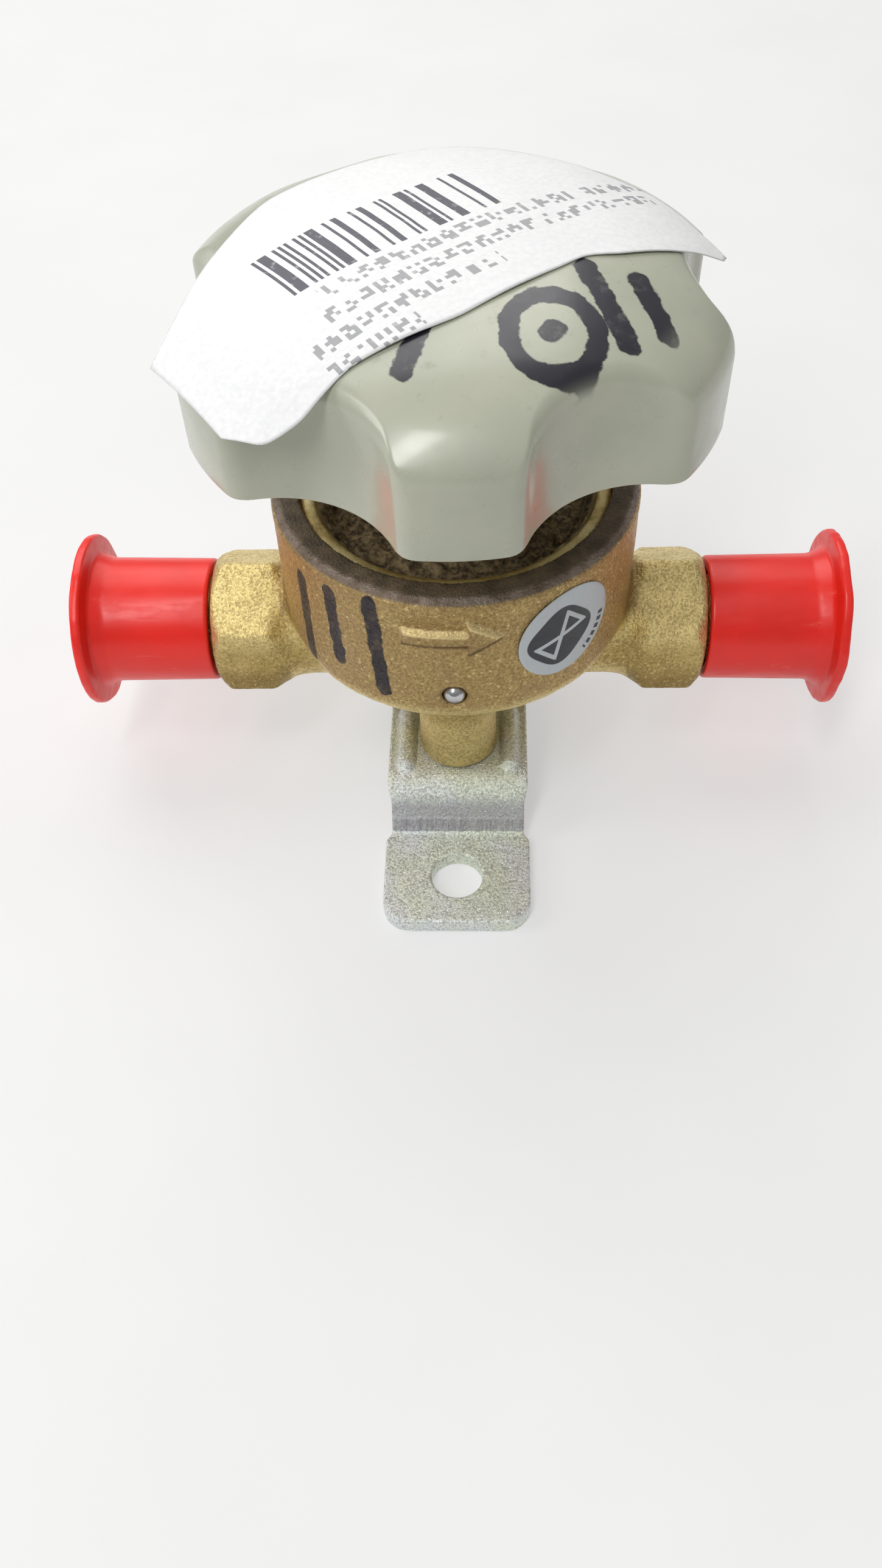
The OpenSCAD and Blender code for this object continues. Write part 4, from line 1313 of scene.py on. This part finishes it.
# %% Give the CAD nodes their finishes
STEEL_NODES = ["thrust_button", "thrust_ball", "spindle", "gland_snap_ring"]
STEEL_NODES += ["return_spring", "plug_ball", "knob_clip"]
FINISHED = [
    (STEEL, STEEL_NODES),
    (TURNED_BRASS, ["clamp_ring", "valve_plate", "seal_rivet", "knob_insert"]),
    (NYLON, ["gland_washer", "seat_seal"]),
    (RUBBER, ["spindle_oring"]),
    (ZINC, ["bracket_screw_front", "bracket_screw_rear"]),
]
for finish, names in FINISHED:
    for name in names:
        node = frame["nodes"][name]
        node.data.materials.clear()
        node.data.materials.append(finish)
    print(finish.name, "on", ", ".join(names))

# %% [markdown]
# ## The sprung diaphragms
# Three thin steel plies are clamped at their rims, and the closed spindle dishes them. As the
# valve opens they spring back towards flat, pushed by the plate under them. Each ply becomes a
# piece of its own, a copy of the CAD ply with the steel finish, on the housing.

# %% Give each ply a piece of its own
PLIES = ["diaphragm_lower", "diaphragm_middle", "diaphragm_upper"]
ply_tops = [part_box(name)[1][2] for name in PLIES]
for name, top in zip(PLIES, ply_tops):
    ply_name = name.replace("diaphragm", "sprung_ply")
    ply_mesh = copy_of_node(name)
    ply = add_piece(ply_name, ply_mesh, "housing", STEEL, name)
    ply_mesh.set_sharp_from_angle(angle=math.radians(30))
    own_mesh(ply)

# %% [markdown]
# ## Floor and light
# A pale matt table, one large soft lamp above and behind, a long narrow one high in front and a
# small weak one at the left, in an even pale room. Brass needs something darker to reflect as
# well, so the room is darker towards the horizon than overhead. To the camera, and in mirrors,
# the table also glows a little, which keeps it pale without more light on the valve.

# %% Build the floor
TABLE_HALF, TABLE_GLOW, GLOW_SHARE = 1.5, (0.93, 0.93, 0.93, 1), 0.45


def table_top():
    material, tree = new_material("table")
    speck = between(noise_of(tree, 40, 3), 0.3, 0.7)
    shader = dress(material, blend(speck, (0.80, 0.80, 0.79), (0.84, 0.84, 0.83)), 0.7, None)
    path = tree.nodes.new("ShaderNodeLightPath").outputs
    camera_ray, glossy_ray, through_ray = (
        Field(path[f"Is {kind} Ray"]) for kind in ("Camera", "Glossy", "Transmission")
    )
    seen = sums("MAXIMUM", camera_ray, sums("MAXIMUM", glossy_ray, through_ray))
    glow = tree.nodes.new("ShaderNodeEmission")
    glow.inputs["Color"].default_value = TABLE_GLOW
    mixer = tree.nodes.new("ShaderNodeMixShader")
    for socket, value in zip(mixer.inputs, (
            seen * GLOW_SHARE, Field(shader.outputs[0]), Field(glow.outputs[0]))):
        feed(socket, value)
    feed(tree.nodes["Material Output"].inputs["Surface"], Field(mixer.outputs[0]))
    return material


half = TABLE_HALF
table_mesh = bpy.data.meshes.new("table")
table_corners = [(-half, -half, 0), (half, -half, 0), (half, half, 0), (-half, half, 0)]
table_mesh.from_pydata(table_corners, [], [(0, 1, 2, 3)])
table_mesh.materials.append(table_top())
new_object("table", table_mesh)

# %% [markdown]
# Each lamp is a rectangle that faces a point a little above the table. A larger lamp gives
# softer shadows and wider highlights at the same power, so the two are chosen together.

# %% Hang the lamps and light the room
LAMP_AIM = Vector((0, 0, 30 * MM))


def add_lamp(name, place_mm, size_mm, power, colour):
    lamp = bpy.data.lights.new(name, "AREA")
    lamp.shape = "RECTANGLE"
    lamp.size, lamp.size_y = (s * MM for s in size_mm)
    lamp.energy = power
    lamp.color = colour
    place = Vector(place_mm) * MM
    turn = (place - LAMP_AIM).to_track_quat("Z", "Y").to_matrix().to_4x4()
    new_object(name, lamp).matrix_world = Matrix.Translation(place) @ turn
    print("lamp", name, "of", power, "W")


add_lamp("back", (-120, 330, 390), (500, 420), 1.40, (1.0, 0.99, 0.97))
add_lamp("top", (-110, -230, 450), (70, 380), 1.05, (0.98, 0.99, 1.0))
add_lamp("side", (-430, -60, 290), (110, 240), 0.5, (0.98, 0.99, 1.0))

world = bpy.data.worlds.new("room")
bpy.context.scene.world = world
world.use_nodes = True
background = world.node_tree.nodes["Background"]
direction = Field(world.node_tree.nodes.new("ShaderNodeTexCoord").outputs["Generated"])
overhead = between(split(direction)[2], -0.1, 0.8)
feed(background.inputs["Color"], blend(overhead, (0.30, 0.30, 0.31), (0.72, 0.72, 0.72)))
background.inputs["Strength"].default_value = 0.55
bpy.context.scene.view_settings.view_transform = "Standard"
